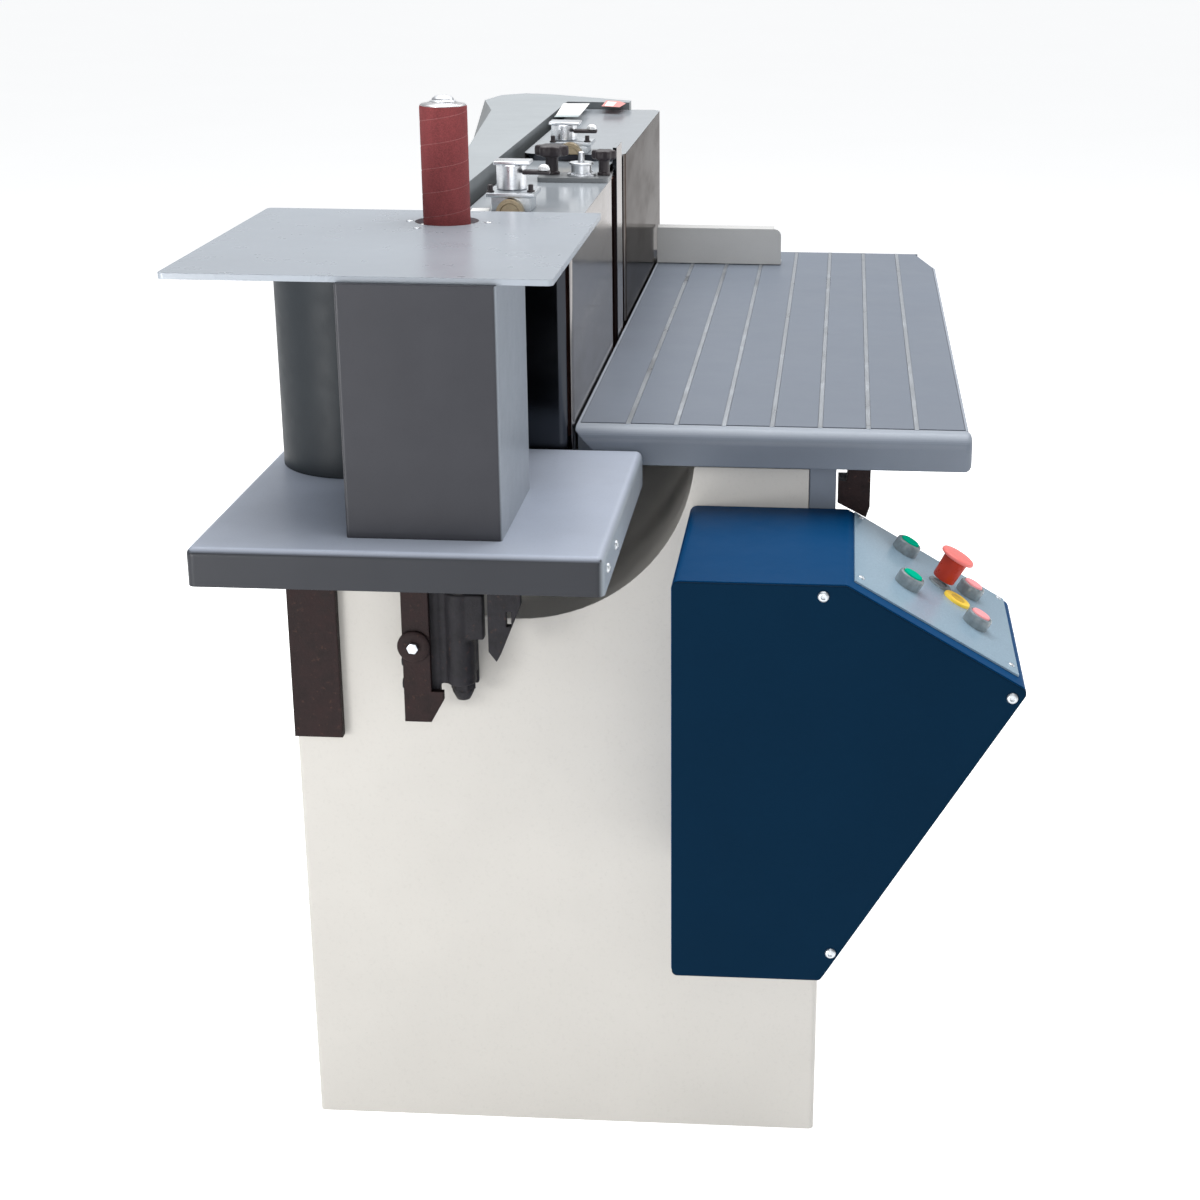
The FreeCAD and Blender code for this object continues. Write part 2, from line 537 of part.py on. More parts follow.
def side_table():
    bottom = "side_top - side_deep"
    front = rounded("lip_soft", box("lip_block", ("side_left", "side_right + 4"),
                                    ("side_front", "side_front + lip_width"), (bottom, "side_top")),
                    "lip_round", lambda edge: along(edge, X_AXIS)
                    and edge.CenterOfMass.z > sheet.get("side_top") - 1
                    and edge.CenterOfMass.y < sheet.get("side_front") - sheet.get("cabinet_length") / 2 + 1)
    front = rounded("lip_soft_end", front, "end_round", lambda edge: along(edge, Y_AXIS)
                    and edge.CenterOfMass.x > sheet.get("side_right"))
    tray = box("tray_block", ("side_left", "side_right"), ("side_front + lip_width", "side_back"),
               (bottom, "side_top"))
    recess = box("slat_recess", ("side_left + wall", "side_right - wall"),
                 ("side_front + lip_width", "side_back - wall"), ("side_top - slat_thick", "side_top + 1"))
    below = box("tray_below", ("side_left + wall", "side_right - wall"),
                ("side_front + lip_width + wall", "side_back - wall"),
                (bottom + " - 1", "side_top - slat_thick - wall"))
    corner = prism("back_corner", "XY_Plane", (("side_right + 1", "-140"), ("side_right + 1", "1"),
                                               ("side_right - 24", "1")), "side_deep + 4")
    place(corner, "0", "side_back", bottom + " - 2")
    bevel = prism("front_corner", "XZ_Plane", (("side_left - 1", bottom + " - 1"),
                                               ("side_left + 36", bottom + " - 1"),
                                               ("side_left - 1", "side_top - 3")), "lip_width + 4", True)
    place(bevel, "0", "side_front - 3", "0")
    frame = cut("frame_cut", fuse("frame_solid", front, tray), recess, below, corner, bevel)
    node(frame, "table_frame")

    pitch = "(side_right - side_left - 2 * wall - 1) / slat_count"
    start = "side_left + wall + 0.5"
    corner_top = prism("slat_corner", "XY_Plane", (("side_right + 1", "-140"), ("side_right + 1", "1"),
                                                   ("side_right - 28", "1")), "side_deep + 4")
    place(corner_top, "0", "side_back - wall", bottom + " - 2")
    slats = []
    strips = []
    count = int(sheet.get("slat_count"))
    y = ("side_front + lip_width + 4", "side_back - wall - 0.5")
    for k in range(count):
        left = "%s + %d * %s" % (start, k, pitch)
        slat = box("slat_%d" % k, (left + (" + strip_width / 2" if k else ""),
                                   left + " + " + pitch + (" - strip_width / 2" if k < count - 1 else "")),
                   y, ("side_top - slat_thick", "side_top"))
        slats.append(cut("slat_end_cut", slat, corner_top) if k == count - 1 else slat)
        if k:
            strips.append(box("strip_%d" % k, (left + " - strip_width / 2 + 0.2",
                                               left + " + strip_width / 2 - 0.2"),
                              ("side_front + lip_width - 2", "side_back - wall - 0.5"),
                              ("side_top", "side_top + 0.8")))
            strips.append(box("strip_foot_%d" % k, (left + " - strip_width / 2 + 0.2",
                                                    left + " + strip_width / 2 - 0.2"),
                              y, ("side_top - slat_thick", "side_top")))
    node(group("slat_set", *slats), "table_slats")
    joined = [fuse("strip_all_%d" % k, strips[2 * k], strips[2 * k + 1]) for k in range(count - 1)]
    node(group("strip_set", *joined), "slat_strips")

    rods = []
    guides = []
    for k, y_pos in enumerate(("250", "900")):
        rods.append(rod("lift_rod_%d" % k, "rod_radius", "side_top - slat_thick - wall - 560",
                        "rod_x", y_pos, "560"))
        sleeve = rod("guide_sleeve_%d" % k, "rod_radius + 12", "30", "rod_x", y_pos,
                     "cabinet_height - wall - 30")
        bore = rod("guide_bore_%d" % k, "rod_radius + fit_gap", "50", "rod_x", y_pos,
                   "cabinet_height - wall - 40")
        guides.append(cut("lift_guide_%d" % k, sleeve, bore))
    node(group("lift_rod_set", *rods), "lift_rods")
    node(group("lift_guide_set", *guides), "lift_guides")

    half = "cabinet_width / 2"
    node(box("foot_block", (half + " - notch_width + 0.5", half + " + 8"), ("2", "32"),
             ("notch_bottom", "side_top - slat_thick - wall - 0.5")), "table_stop")
    hook = prism("hook_profile", "XZ_Plane", (("327", "831"), ("360", "814"), ("364", "827"),
                                              ("364", bottom), ("340", bottom), ("337", "857"),
                                              ("327", "857")), "36")
    place(hook, "0", "38", "0")
    node(hook, "table_bracket")


def fence():
    back = "fence_y + 32"
    left = "side_left + 1"
    right = "side_left + fence_width"
    low = "side_top + 1.2"
    face = rounded("fence_soft", box("fence_face", (left, right), ("fence_y", "fence_y + wall"),
                                     (low, "side_top + fence_high")), "fence_round",
                   lambda edge: along(edge, Y_AXIS) and edge.CenterOfMass.z > 950
                   and edge.CenterOfMass.x > 200)
    top = box("fence_top", (left, right + " - 12"), ("fence_y", back),
              ("side_top + fence_high - wall", "side_top + fence_high"))
    foot = box("fence_foot", (left, right), ("fence_y", back), (low, low + " + wall"))
    node(fuse("fence_all", face, top, foot), "fence")


# ---------------------------------------------------------------- adjusters and knobs

def adjusters():
    blocks = []
    shoes = []
    for name, shift_x, shift_y, base, rise, lip, pin_x, high in (
            ("near", "0", "0", "casing_top", "17", "6", "-3", "29"),
            ("far", "11", "adjuster_step", "casing_top + far_step", "10", "-0.5", "-12", "21")):
        x = "adjuster_x + %s" % shift_x
        y = "adjuster_y + %s" % shift_y
        plate_top = "%s + %s + 5" % (base, rise)
        px = "%s + (%s)" % (x, pin_x)
        py = y + " + 30"
        block = box(name + "_block", (x + " - 23", x + " + 23"), (y, y + " + 46"),
                    (base, base + " + " + rise))
        plate = box(name + "_low_plate", (x + " - 28", x + " + 28"), ("%s - (%s)" % (y, lip), y + " + 54"),
                    (base + " + " + rise, plate_top))
        pin = rod(name + "_pin", "6", high + " + 4", px, py, plate_top)
        stud = rod(name + "_stud", "3", "8.5", x + " + 22", y + " + 10", plate_top)
        blocks.append(fuse(name + "_block_all", block, plate, pin, stud))
        shoe = rod(name + "_shoe_round", "16", "14", x, y + " - 12", base, Y_AXIS)
        under = box(name + "_shoe_under", (x + " - 20", x + " + 20"), (y + " - 14", y + " + 4"),
                    (base + " - 20", base))
        shoe_end = box(name + "_shoe_end", (x + " - 20", x + " + 20"), (y, y + " + 4"),
                       (base + " - 20", base + " + 20"))
        shoes.append(cut(name + "_shoe", shoe, under, shoe_end))

        low = plate_top + " + 0.3"
        chrome = rod(name + "_chrome", "chrome_radius", high, px, py, low)
        lid = box(name + "_lid", (px + " - 19", px + " + 23"), (py + " - 16", py + " + 16"),
                  (low + " + " + high, low + " + %s + 4" % high))
        lid_bore = rod(name + "_pin_bore", "6 + fit_gap", "60", px, py, base)
        arm = box(name + "_arm", (px + " + 12", px + " + 48"), (py + " - 24", py + " - 6"),
                  (low + " + %s - 10" % high, low + " + %s - 5" % high))
        bolt = rod(name + "_bolt", "3", high + " - 16", px + " + 40", py + " - 16", low + " + 11")
        dome = doc.addObject("Part::Sphere", name + "_dome")
        bind(dome, "Radius", "7")
        place(dome, px + " + 40", py + " - 16", low + " + %s - 5" % high)
        lever = cut(name + "_lever_all", fuse(name + "_lever_solid", chrome, lid, arm, bolt, dome), lid_bore)
        node(lever, name + "_tension_lever")
    node(group("adjuster_block_set", *blocks), "adjuster_blocks")
    node(group("shoe_set", *shoes), "bronze_shoes")

    base = rounded("tracking_plate_soft",
                   box("tracking_plate", ("-62", "unit_right"), ("tracking_y - 32", "near_back - 4"),
                       ("casing_top", "casing_top + 6")), "corner_round", upright)
    node(base, "tracking_base")
    hub_z = "casing_top + 6"
    node(fuse("hub_all", rod("hub_flange", "18", "3", "-8", "tracking_y - 8", hub_z),
              rod("hub_body", "13", "17", "-8", "tracking_y - 8", hub_z),
              rod("hub_cap", "15.5", "3", "-8", "tracking_y - 8", hub_z + " + 14"),
              rod("hub_screw", "4", "30", "-8", "tracking_y - 8", hub_z)), "tracking_hub")
    lobed_knob("tension_knob", "knob_radius", "10", "-47", "tracking_y + 2", "22", "14")
    lobed_knob("tracking_knob", "small_knob", "8.5", "20", "tracking_y", "19", "12")


def lobed_knob(name, radius, stem, x, y, rise, head):
    """Hand knob with six lobes on a stem."""
    low = "casing_top + 6.3"
    lobes = []
    for k in range(6):
        turn = k * math.pi / 3
        lobes.append(rod("%s_lobe_%d" % (name, k), "%s / 3.2" % radius, head,
                         "%s + %.4f * %s * 0.68" % (x, math.cos(turn), radius),
                         "%s + %.4f * %s * 0.68" % (y, math.sin(turn), radius),
                         "%s + %s" % (low, rise)))
    core = rod(name + "_core", "%s * 0.78" % radius, head, x, y, "%s + %s" % (low, rise))
    neck = rod(name + "_neck", stem, rise, x, y, low)
    node(fuse(name + "_all", core, neck, *lobes), name)


# ---------------------------------------------------------------- control box

def control_outline(inset):
    """Corners of the control box seen from the front, moved inwards by an inset."""
    return (("box_left + %s" % inset, "box_bottom + %s" % inset),
            ("box_low_right - %s" % inset, "box_bottom + %s" % inset),
            ("box_right - %s * 1.6" % inset, "box_slope_low - %s * 0.4" % inset),
            ("box_flat_right - %s * 0.3" % inset, "box_top - %s" % inset),
            ("box_left + %s" % inset, "box_top - %s" % inset))


def on_panel(obj, along_slope, y, rise, turn=0):
    """Place a piece on the sloping panel: distance down the slope, y, height above it."""
    place(obj, "box_flat_right + (%s) * cos(panel_angle) + (%s) * sin(panel_angle)" % (along_slope, rise),
          y, "box_top - (%s) * sin(panel_angle) + (%s) * cos(panel_angle)" % (along_slope, rise))
    obj.Placement = FreeCAD.Placement(obj.Placement.Base,
                                      FreeCAD.Rotation(Y_AXIS, sheet.get("panel_angle"))
                                      * FreeCAD.Rotation(Z_AXIS, turn))
    return obj


def panel_rod(name, radius, length, along_slope, y, rise):
    return on_panel(rod(name, radius, length, "0", "0", "0"), along_slope, y, rise)


def control_box():
    shell = prism("control_shell", "XZ_Plane", control_outline("0"), "box_deep - 4")
    place(shell, "0", "0", "0")
    hollow = prism("control_hollow", "XZ_Plane", control_outline("2.5"), "box_deep")
    place(hollow, "0", "-3", "0")
    soft = rounded("control_soft", shell, "box_round", lambda edge: along(edge, Y_AXIS))
    node(cut("control_case", soft, hollow), "control_box")

    cover = prism("cover_plate", "XZ_Plane", control_outline("1"), "3.5")
    place(cover, "0", "3.5 - box_deep", "0")
    node(rounded("cover_soft", cover, "cover_round", lambda edge: along(edge, Y_AXIS)), "control_cover")

    panel = on_panel(box("panel_block", ("0", "panel_long"), ("0", "panel_wide"), ("0", "panel_thick")),
                     "8", "-3 - panel_wide", "0.2")
    node(panel, "control_panel")

    screws = []
    for k, (x, z) in enumerate((("315", "812"), ("513", "706"), ("332", "402"))):
        screws.append(cone("cover_screw_%d" % k, "6", "4", "3", x, "-box_deep", z, -Y_AXIS))
    for k, (slope, y) in enumerate((("16", "-12"), ("201", "-12"), ("16", "-228"), ("201", "-228"))):
        screws.append(panel_rod("panel_screw_%d" % k, "3.5", "1.6", slope, y, "0.2 + panel_thick"))
    node(group("screw_set", *screws), "control_screws")

    buttons = (("green_start", "73", "-44"), ("green_feed", "73", "-163"),
               ("red_stop", "156", "-66"), ("red_feed", "159", "-163"))
    bezels = []
    floor = "0.2 + panel_thick"
    for name, slope, y in buttons:
        ring = panel_rod(name + "_ring", "bezel_radius", "bezel_high", slope, y, floor)
        well = panel_rod(name + "_well", "cap_radius + fit_gap", "bezel_high", slope, y, floor + " + 4")
        bezels.append(cut(name + "_bezel", ring, well))
        cap = panel_rod(name + "_cap", "cap_radius", "bezel_high - 7", slope, y, floor + " + 9")
        node(cap, name + "_button")
    collar = panel_rod("stop_collar_ring", "14", "8", "118", "-91", floor)
    well = panel_rod("stop_collar_well", "8 + fit_gap", "20", "118", "-91", floor + " + 2")
    bezels.append(cut("stop_collar_cut", collar, well))
    node(group("bezel_set", *bezels), "button_bezels")

    stem = panel_rod("stop_stem", "8", "16", "118", "-91", floor + " + 8")
    skirt = on_panel(cone("stop_skirt", "12", "15", "24", "0", "0", "0"), "118", "-91", floor + " + 14")
    head = panel_rod("stop_head", "20", "5", "118", "-91", floor + " + 36")
    node(fuse("stop_all", stem, skirt, head), "stop_button")
    node(panel_rod("lamp_disc", "16", "4", "139", "-114", floor), "indicator_disc")


cabinet()
belt_unit()
hood()
spindle()
end_table()
height_bracket()
side_table()
fence()
adjusters()
control_box()
doc.recompute()

for obj in doc.Objects:
    if "Invalid" in obj.State or "Error" in obj.State:
        raise RuntimeError("%s did not build: %s" % (obj.Label, obj.State))
for name, obj in NODES.items():
    if obj.Shape.isNull() or not obj.Shape.isValid():
        raise RuntimeError("%s has no valid shape" % name)

os.makedirs("parts", exist_ok=True)
for name, obj in NODES.items():
    obj.Shape.exportStep("parts/%s.step" % name)
    limits = obj.Shape.BoundBox
    print("%-22s %d solid(s)  %8.0f cm3  x %6.1f %6.1f  y %7.1f %7.1f  z %6.1f %6.1f" % (
        name, len(obj.Shape.Solids), obj.Shape.Volume / 1000, limits.XMin, limits.XMax,
        limits.YMin, limits.YMax, limits.ZMin, limits.ZMax))
print(len(NODES), "nodes")
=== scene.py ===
"""Looks of the edge sander with its small sanding drum.  Metres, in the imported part's frame."""
import math

import bmesh
import bpy
from mathutils import Matrix, Vector


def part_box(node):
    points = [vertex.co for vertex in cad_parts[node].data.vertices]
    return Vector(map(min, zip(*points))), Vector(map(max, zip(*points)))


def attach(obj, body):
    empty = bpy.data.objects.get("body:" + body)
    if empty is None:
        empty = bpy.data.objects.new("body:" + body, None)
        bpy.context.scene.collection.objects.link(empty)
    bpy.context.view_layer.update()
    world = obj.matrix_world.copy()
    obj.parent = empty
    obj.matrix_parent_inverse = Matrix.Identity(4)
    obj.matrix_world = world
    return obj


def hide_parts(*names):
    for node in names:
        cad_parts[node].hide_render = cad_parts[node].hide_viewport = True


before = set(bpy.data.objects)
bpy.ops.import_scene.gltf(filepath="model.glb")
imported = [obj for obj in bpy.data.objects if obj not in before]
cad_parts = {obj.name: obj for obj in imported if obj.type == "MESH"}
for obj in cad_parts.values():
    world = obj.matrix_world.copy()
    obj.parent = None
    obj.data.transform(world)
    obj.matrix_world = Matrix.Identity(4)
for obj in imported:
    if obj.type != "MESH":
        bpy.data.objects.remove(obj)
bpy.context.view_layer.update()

MM = 0.001
UP = Vector((0, 0, 1))
FRONT = Vector((0, -1, 0))
PANEL_TILT = math.radians(30)
PANEL_AXIS = Vector((math.sin(PANEL_TILT), 0, math.cos(PANEL_TILT)))
PUSH_BUTTONS = ("green_start_button", "green_feed_button", "red_stop_button", "red_feed_button")

# Sizes in millimetres that a node's box does not give; they repeat the design's own.
LEVER_PIN = 19           # from a tension lever's left side to its pin
CHROME_RADIUS = 17.5     # of the lever's cylinder
LID = 4                  # thickness of the plate over the cylinder
ADJUSTERS = (("near", 17, 6, -3), ("far", 10, -0.5, -12))   # block's rise, plate's overhang, pin's offset

# The camera's standpoint in metres and its turns in radians.
STANDPOINT = (0.3242, -2.899, 1.5147)
PAN, LOOK_DOWN, ROLL = 0.0566, 0.3349, 0.0077


# ---------------------------------------------------------------- materials

class Finish:
    """A principled material whose colour, roughness and bump come from object-space noise."""

    def __init__(self, name, metallic=0.0, specular=0.5):
        self.material = bpy.data.materials.new(name)
        self.material.use_nodes = True
        self.tree = self.material.node_tree
        self.shader = self.tree.nodes["Principled BSDF"]
        self.shader.inputs["Metallic"].default_value = metallic
        self.shader.inputs["Specular IOR Level"].default_value = specular
        self.place = self.tree.nodes.new("ShaderNodeTexCoord").outputs["Object"]

    def join(self, source, target):
        self.tree.links.new(source, target)

    def stretched(self, scale):
        """Object coordinates scaled along each axis."""
        node = self.tree.nodes.new("ShaderNodeMapping")
        node.inputs["Scale"].default_value = scale
        self.join(self.place, node.inputs["Vector"])
        return node.outputs["Vector"]

    def noise(self, size, detail=3.0, rough=0.55, stretch=None):
        """Noise with features about size metres across; stretch lengthens it along an axis."""
        node = self.tree.nodes.new("ShaderNodeTexNoise")
        node.inputs["Scale"].default_value = 1.0 / size
        node.inputs["Detail"].default_value = detail
        node.inputs["Roughness"].default_value = rough
        self.join(self.stretched(stretch) if stretch else self.place, node.inputs["Vector"])
        return node.outputs["Fac"]

    def span(self, value, low, high, start=0.3, end=0.7):
        """Map a value from start..end to low..high."""
        node = self.tree.nodes.new("ShaderNodeMapRange")
        for key, number in (("From Min", start), ("From Max", end), ("To Min", low), ("To Max", high)):
            node.inputs[key].default_value = number
        self.join(value, node.inputs["Value"])
        return node.outputs["Result"]

    def facing(self, axis, start=0.4, end=0.95):
        """1 on faces that look along an axis; negative limits pick the other way."""
        split = self.tree.nodes.new("ShaderNodeSeparateXYZ")
        geometry = self.tree.nodes.new("ShaderNodeNewGeometry")
        self.join(geometry.outputs["True Normal"], split.inputs["Vector"])
        return self.span(split.outputs[axis], 0, 1, start, end)

    def blend(self, factor, first, second):
        """Mix two colours, each a socket or a fixed tone, by a factor socket."""
        node = self.tree.nodes.new("ShaderNodeMix")
        node.data_type = "RGBA"
        self.join(factor, node.inputs["Factor"])
        for key, colour in (("A", first), ("B", second)):
            socket = [item for item in node.inputs if item.name == key and item.type == "RGBA"][0]
            if isinstance(colour, bpy.types.NodeSocket):
                self.join(colour, socket)
            else:
                socket.default_value = (*colour, 1.0)
        return [item for item in node.outputs if item.type == "RGBA"][0]

    def colour(self, socket):
        self.join(socket, self.shader.inputs["Base Color"])

    def rough(self, socket):
        self.join(socket, self.shader.inputs["Roughness"])

    def relief(self, height, depth, edge=0.0012):
        """Bump over softly bevelled edges."""
        bevel = self.tree.nodes.new("ShaderNodeBevel")
        bevel.samples = 4
        bevel.inputs["Radius"].default_value = edge
        bump = self.tree.nodes.new("ShaderNodeBump")
        bump.inputs["Strength"].default_value = 1.0
        bump.inputs["Distance"].default_value = depth
        self.join(height, bump.inputs["Height"])
        self.join(bevel.outputs["Normal"], bump.inputs["Normal"])
        self.join(bump.outputs["Normal"], self.shader.inputs["Normal"])


def tint(colour, factor):
    return tuple(min(1.0, channel * factor) for channel in colour)


def enamel(name, colour, rough=0.3, cloud=0.06, cloud_size=0.12, speck=0.04, speck_size=0.003,
           depth=0.00012, edge=0.0015, specular=0.5, level=None, right=None):
    """Sprayed paint: slow clouds of tone, a fine speckle and an orange-peel surface.

    Level and right are painted light and shade: tones for faces that look up or towards +X, lighter or
    darker as light falls on them."""
    made = Finish(name, specular=specular)
    clouds = made.span(made.noise(cloud_size, 5), 0, 1)
    body = made.blend(clouds, tint(colour, 1 - cloud), tint(colour, 1 + cloud))
    # painted light and shade: faces looking up or towards +X take their own lighter or darker tone
    for axis, tone in (("X", right), ("Z", level)):
        if tone:
            painted_light_tone = made.blend(clouds, tint(tone, 1 - cloud), tint(tone, 1 + cloud))
            body = made.blend(made.facing(axis), body, painted_light_tone)
    specks = made.noise(speck_size, 2, 0.7)
    made.colour(made.blend(made.span(specks, 0, speck * 4, 0.55, 0.75), body, tint(colour, 0.55)))
    made.rough(made.span(made.noise(cloud_size * 0.4, 4), rough * 0.93, rough * 1.12))
    made.relief(made.noise(speck_size * 2, 2), depth, edge=edge)
    return made.material


def metal(name, colour, rough=0.25, grain=(1, 1, 1), grain_size=0.002, smudge=0.12, depth=0.00004,
          edge=0.0008, metallic=1.0):
    """Worked metal: fine lines along the grain, and smudges that change the gloss."""
    made = Finish(name, metallic=metallic)
    lines = made.noise(grain_size, 3, 0.6, grain)
    stains = made.noise(0.05, 4)
    body = made.blend(made.span(lines, 0, 1), tint(colour, 0.88), tint(colour, 1.08))
    made.colour(made.blend(made.span(stains, 0, smudge, 0.45, 0.75), body, tint(colour, 0.6)))
    made.rough(made.span(stains, rough * 0.75, rough * 1.35))
    made.relief(lines, depth, edge=edge)
    return made.material


def casing_steel(name, steel, stain, grazing):
    """Polished sheet on the sides, with painted shade on the end that looks forwards, grey paint on top.

    Grazing is the tint of its reflections at low angles."""
    made = Finish(name)
    made.shader.inputs["Specular Tint"].default_value = (*grazing, 1.0)
    level = made.facing("Z")
    lines = made.noise(0.0014, 3, 0.6, (1, 0.03, 1))
    stains = made.noise(0.09, 5, 0.6, (1, 0.5, 1.6))
    sheet = made.blend(made.span(lines, 0, 1), tint(steel, 0.92), tint(steel, 1.08))
    sheet = made.blend(made.span(stains, 0, 0.7, 0.48, 0.72), sheet, stain)
    # painted shade: the sheet's faces that look forwards are painted near-black
    sheet = made.blend(made.facing("Y", -0.3, -0.8), sheet, (0.055, 0.06, 0.07))
    paint = made.blend(made.span(stains, 0, 1), (0.33, 0.36, 0.39), (0.35, 0.38, 0.41))
    made.colour(made.blend(level, sheet, paint))
    made.join(made.span(level, 1, 0, 0, 1), made.shader.inputs["Metallic"])
    made.rough(made.span(stains, 0.08, 0.2))
    made.relief(lines, 0.00002, edge=0.0015)
    return made.material


def plastic(name, colour, rough, specular=0.5):
    """Moulded plastic with faint flow marks and a finely matt surface."""
    made = Finish(name, specular=specular)
    flow = made.noise(0.012, 3)
    made.colour(made.blend(made.span(flow, 0, 1), tint(colour, 0.97), tint(colour, 1.03)))
    made.rough(made.span(made.noise(0.006, 3), rough * 0.85, rough * 1.2))
    made.relief(made.noise(0.0012, 2), 0.00004, edge=0.0006)
    return made.material


def casting(name, colour):
    """Rough dark casting under old oil."""
    made = Finish(name, metallic=0.1, specular=0.15)
    dirt = made.noise(0.018, 6, 0.65)
    body = made.blend(made.span(dirt, 0, 1), tint(colour, 0.6), tint(colour, 1.45))
    rust = made.noise(0.007, 4, 0.7)
    made.colour(made.blend(made.span(rust, 0, 0.5, 0.6, 0.75), body, (0.10, 0.05, 0.035)))
    made.rough(made.span(dirt, 0.38, 0.7))
    made.relief(made.noise(0.0035, 5, 0.7), 0.0006, edge=0.002)
    return made.material


def abrasive(name, colour):
    """Coated cloth: dense grit, worn and loaded in streaks."""
    made = Finish(name, specular=0.25)
    grit = made.noise(0.0012, 2, 0.8)
    wear = made.noise(0.02, 4, 0.6, (1, 1, 0.45))
    body = made.blend(made.span(grit, 0, 1, 0.35, 0.65), tint(colour, 0.72), tint(colour, 1.25))
    made.colour(made.blend(made.span(wear, 0, 0.35, 0.45, 0.72), body, tint(colour, 1.7)))
    made.rough(made.span(grit, 0.75, 0.95))
    made.relief(grit, 0.0003, edge=0.0004)
    return made.material


def rubber(name, colour):
    """Black rubber under pale dust."""
    made = Finish(name, specular=0.3)
    dust = made.noise(0.008, 5, 0.6)
    made.colour(made.blend(made.span(dust, 0, 1), colour, tint(colour, 2.2)))
    made.rough(made.span(dust, 0.55, 0.8))
    made.relief(made.noise(0.001, 2), 0.00015)
    return made.material


def clear_plastic(name, colour):
    """Smoky translucent bezel."""
    made = Finish(name, specular=0.6)
    made.shader.inputs["Transmission Weight"].default_value = 0.35
    made.shader.inputs["IOR"].default_value = 1.45
    flow = made.noise(0.006, 3)
    made.colour(made.blend(made.span(flow, 0, 1), tint(colour, 0.85), tint(colour, 1.15)))
    made.rough(made.span(flow, 0.12, 0.24))
    made.relief(made.noise(0.001, 2), 0.00003, edge=0.0006)
    return made.material


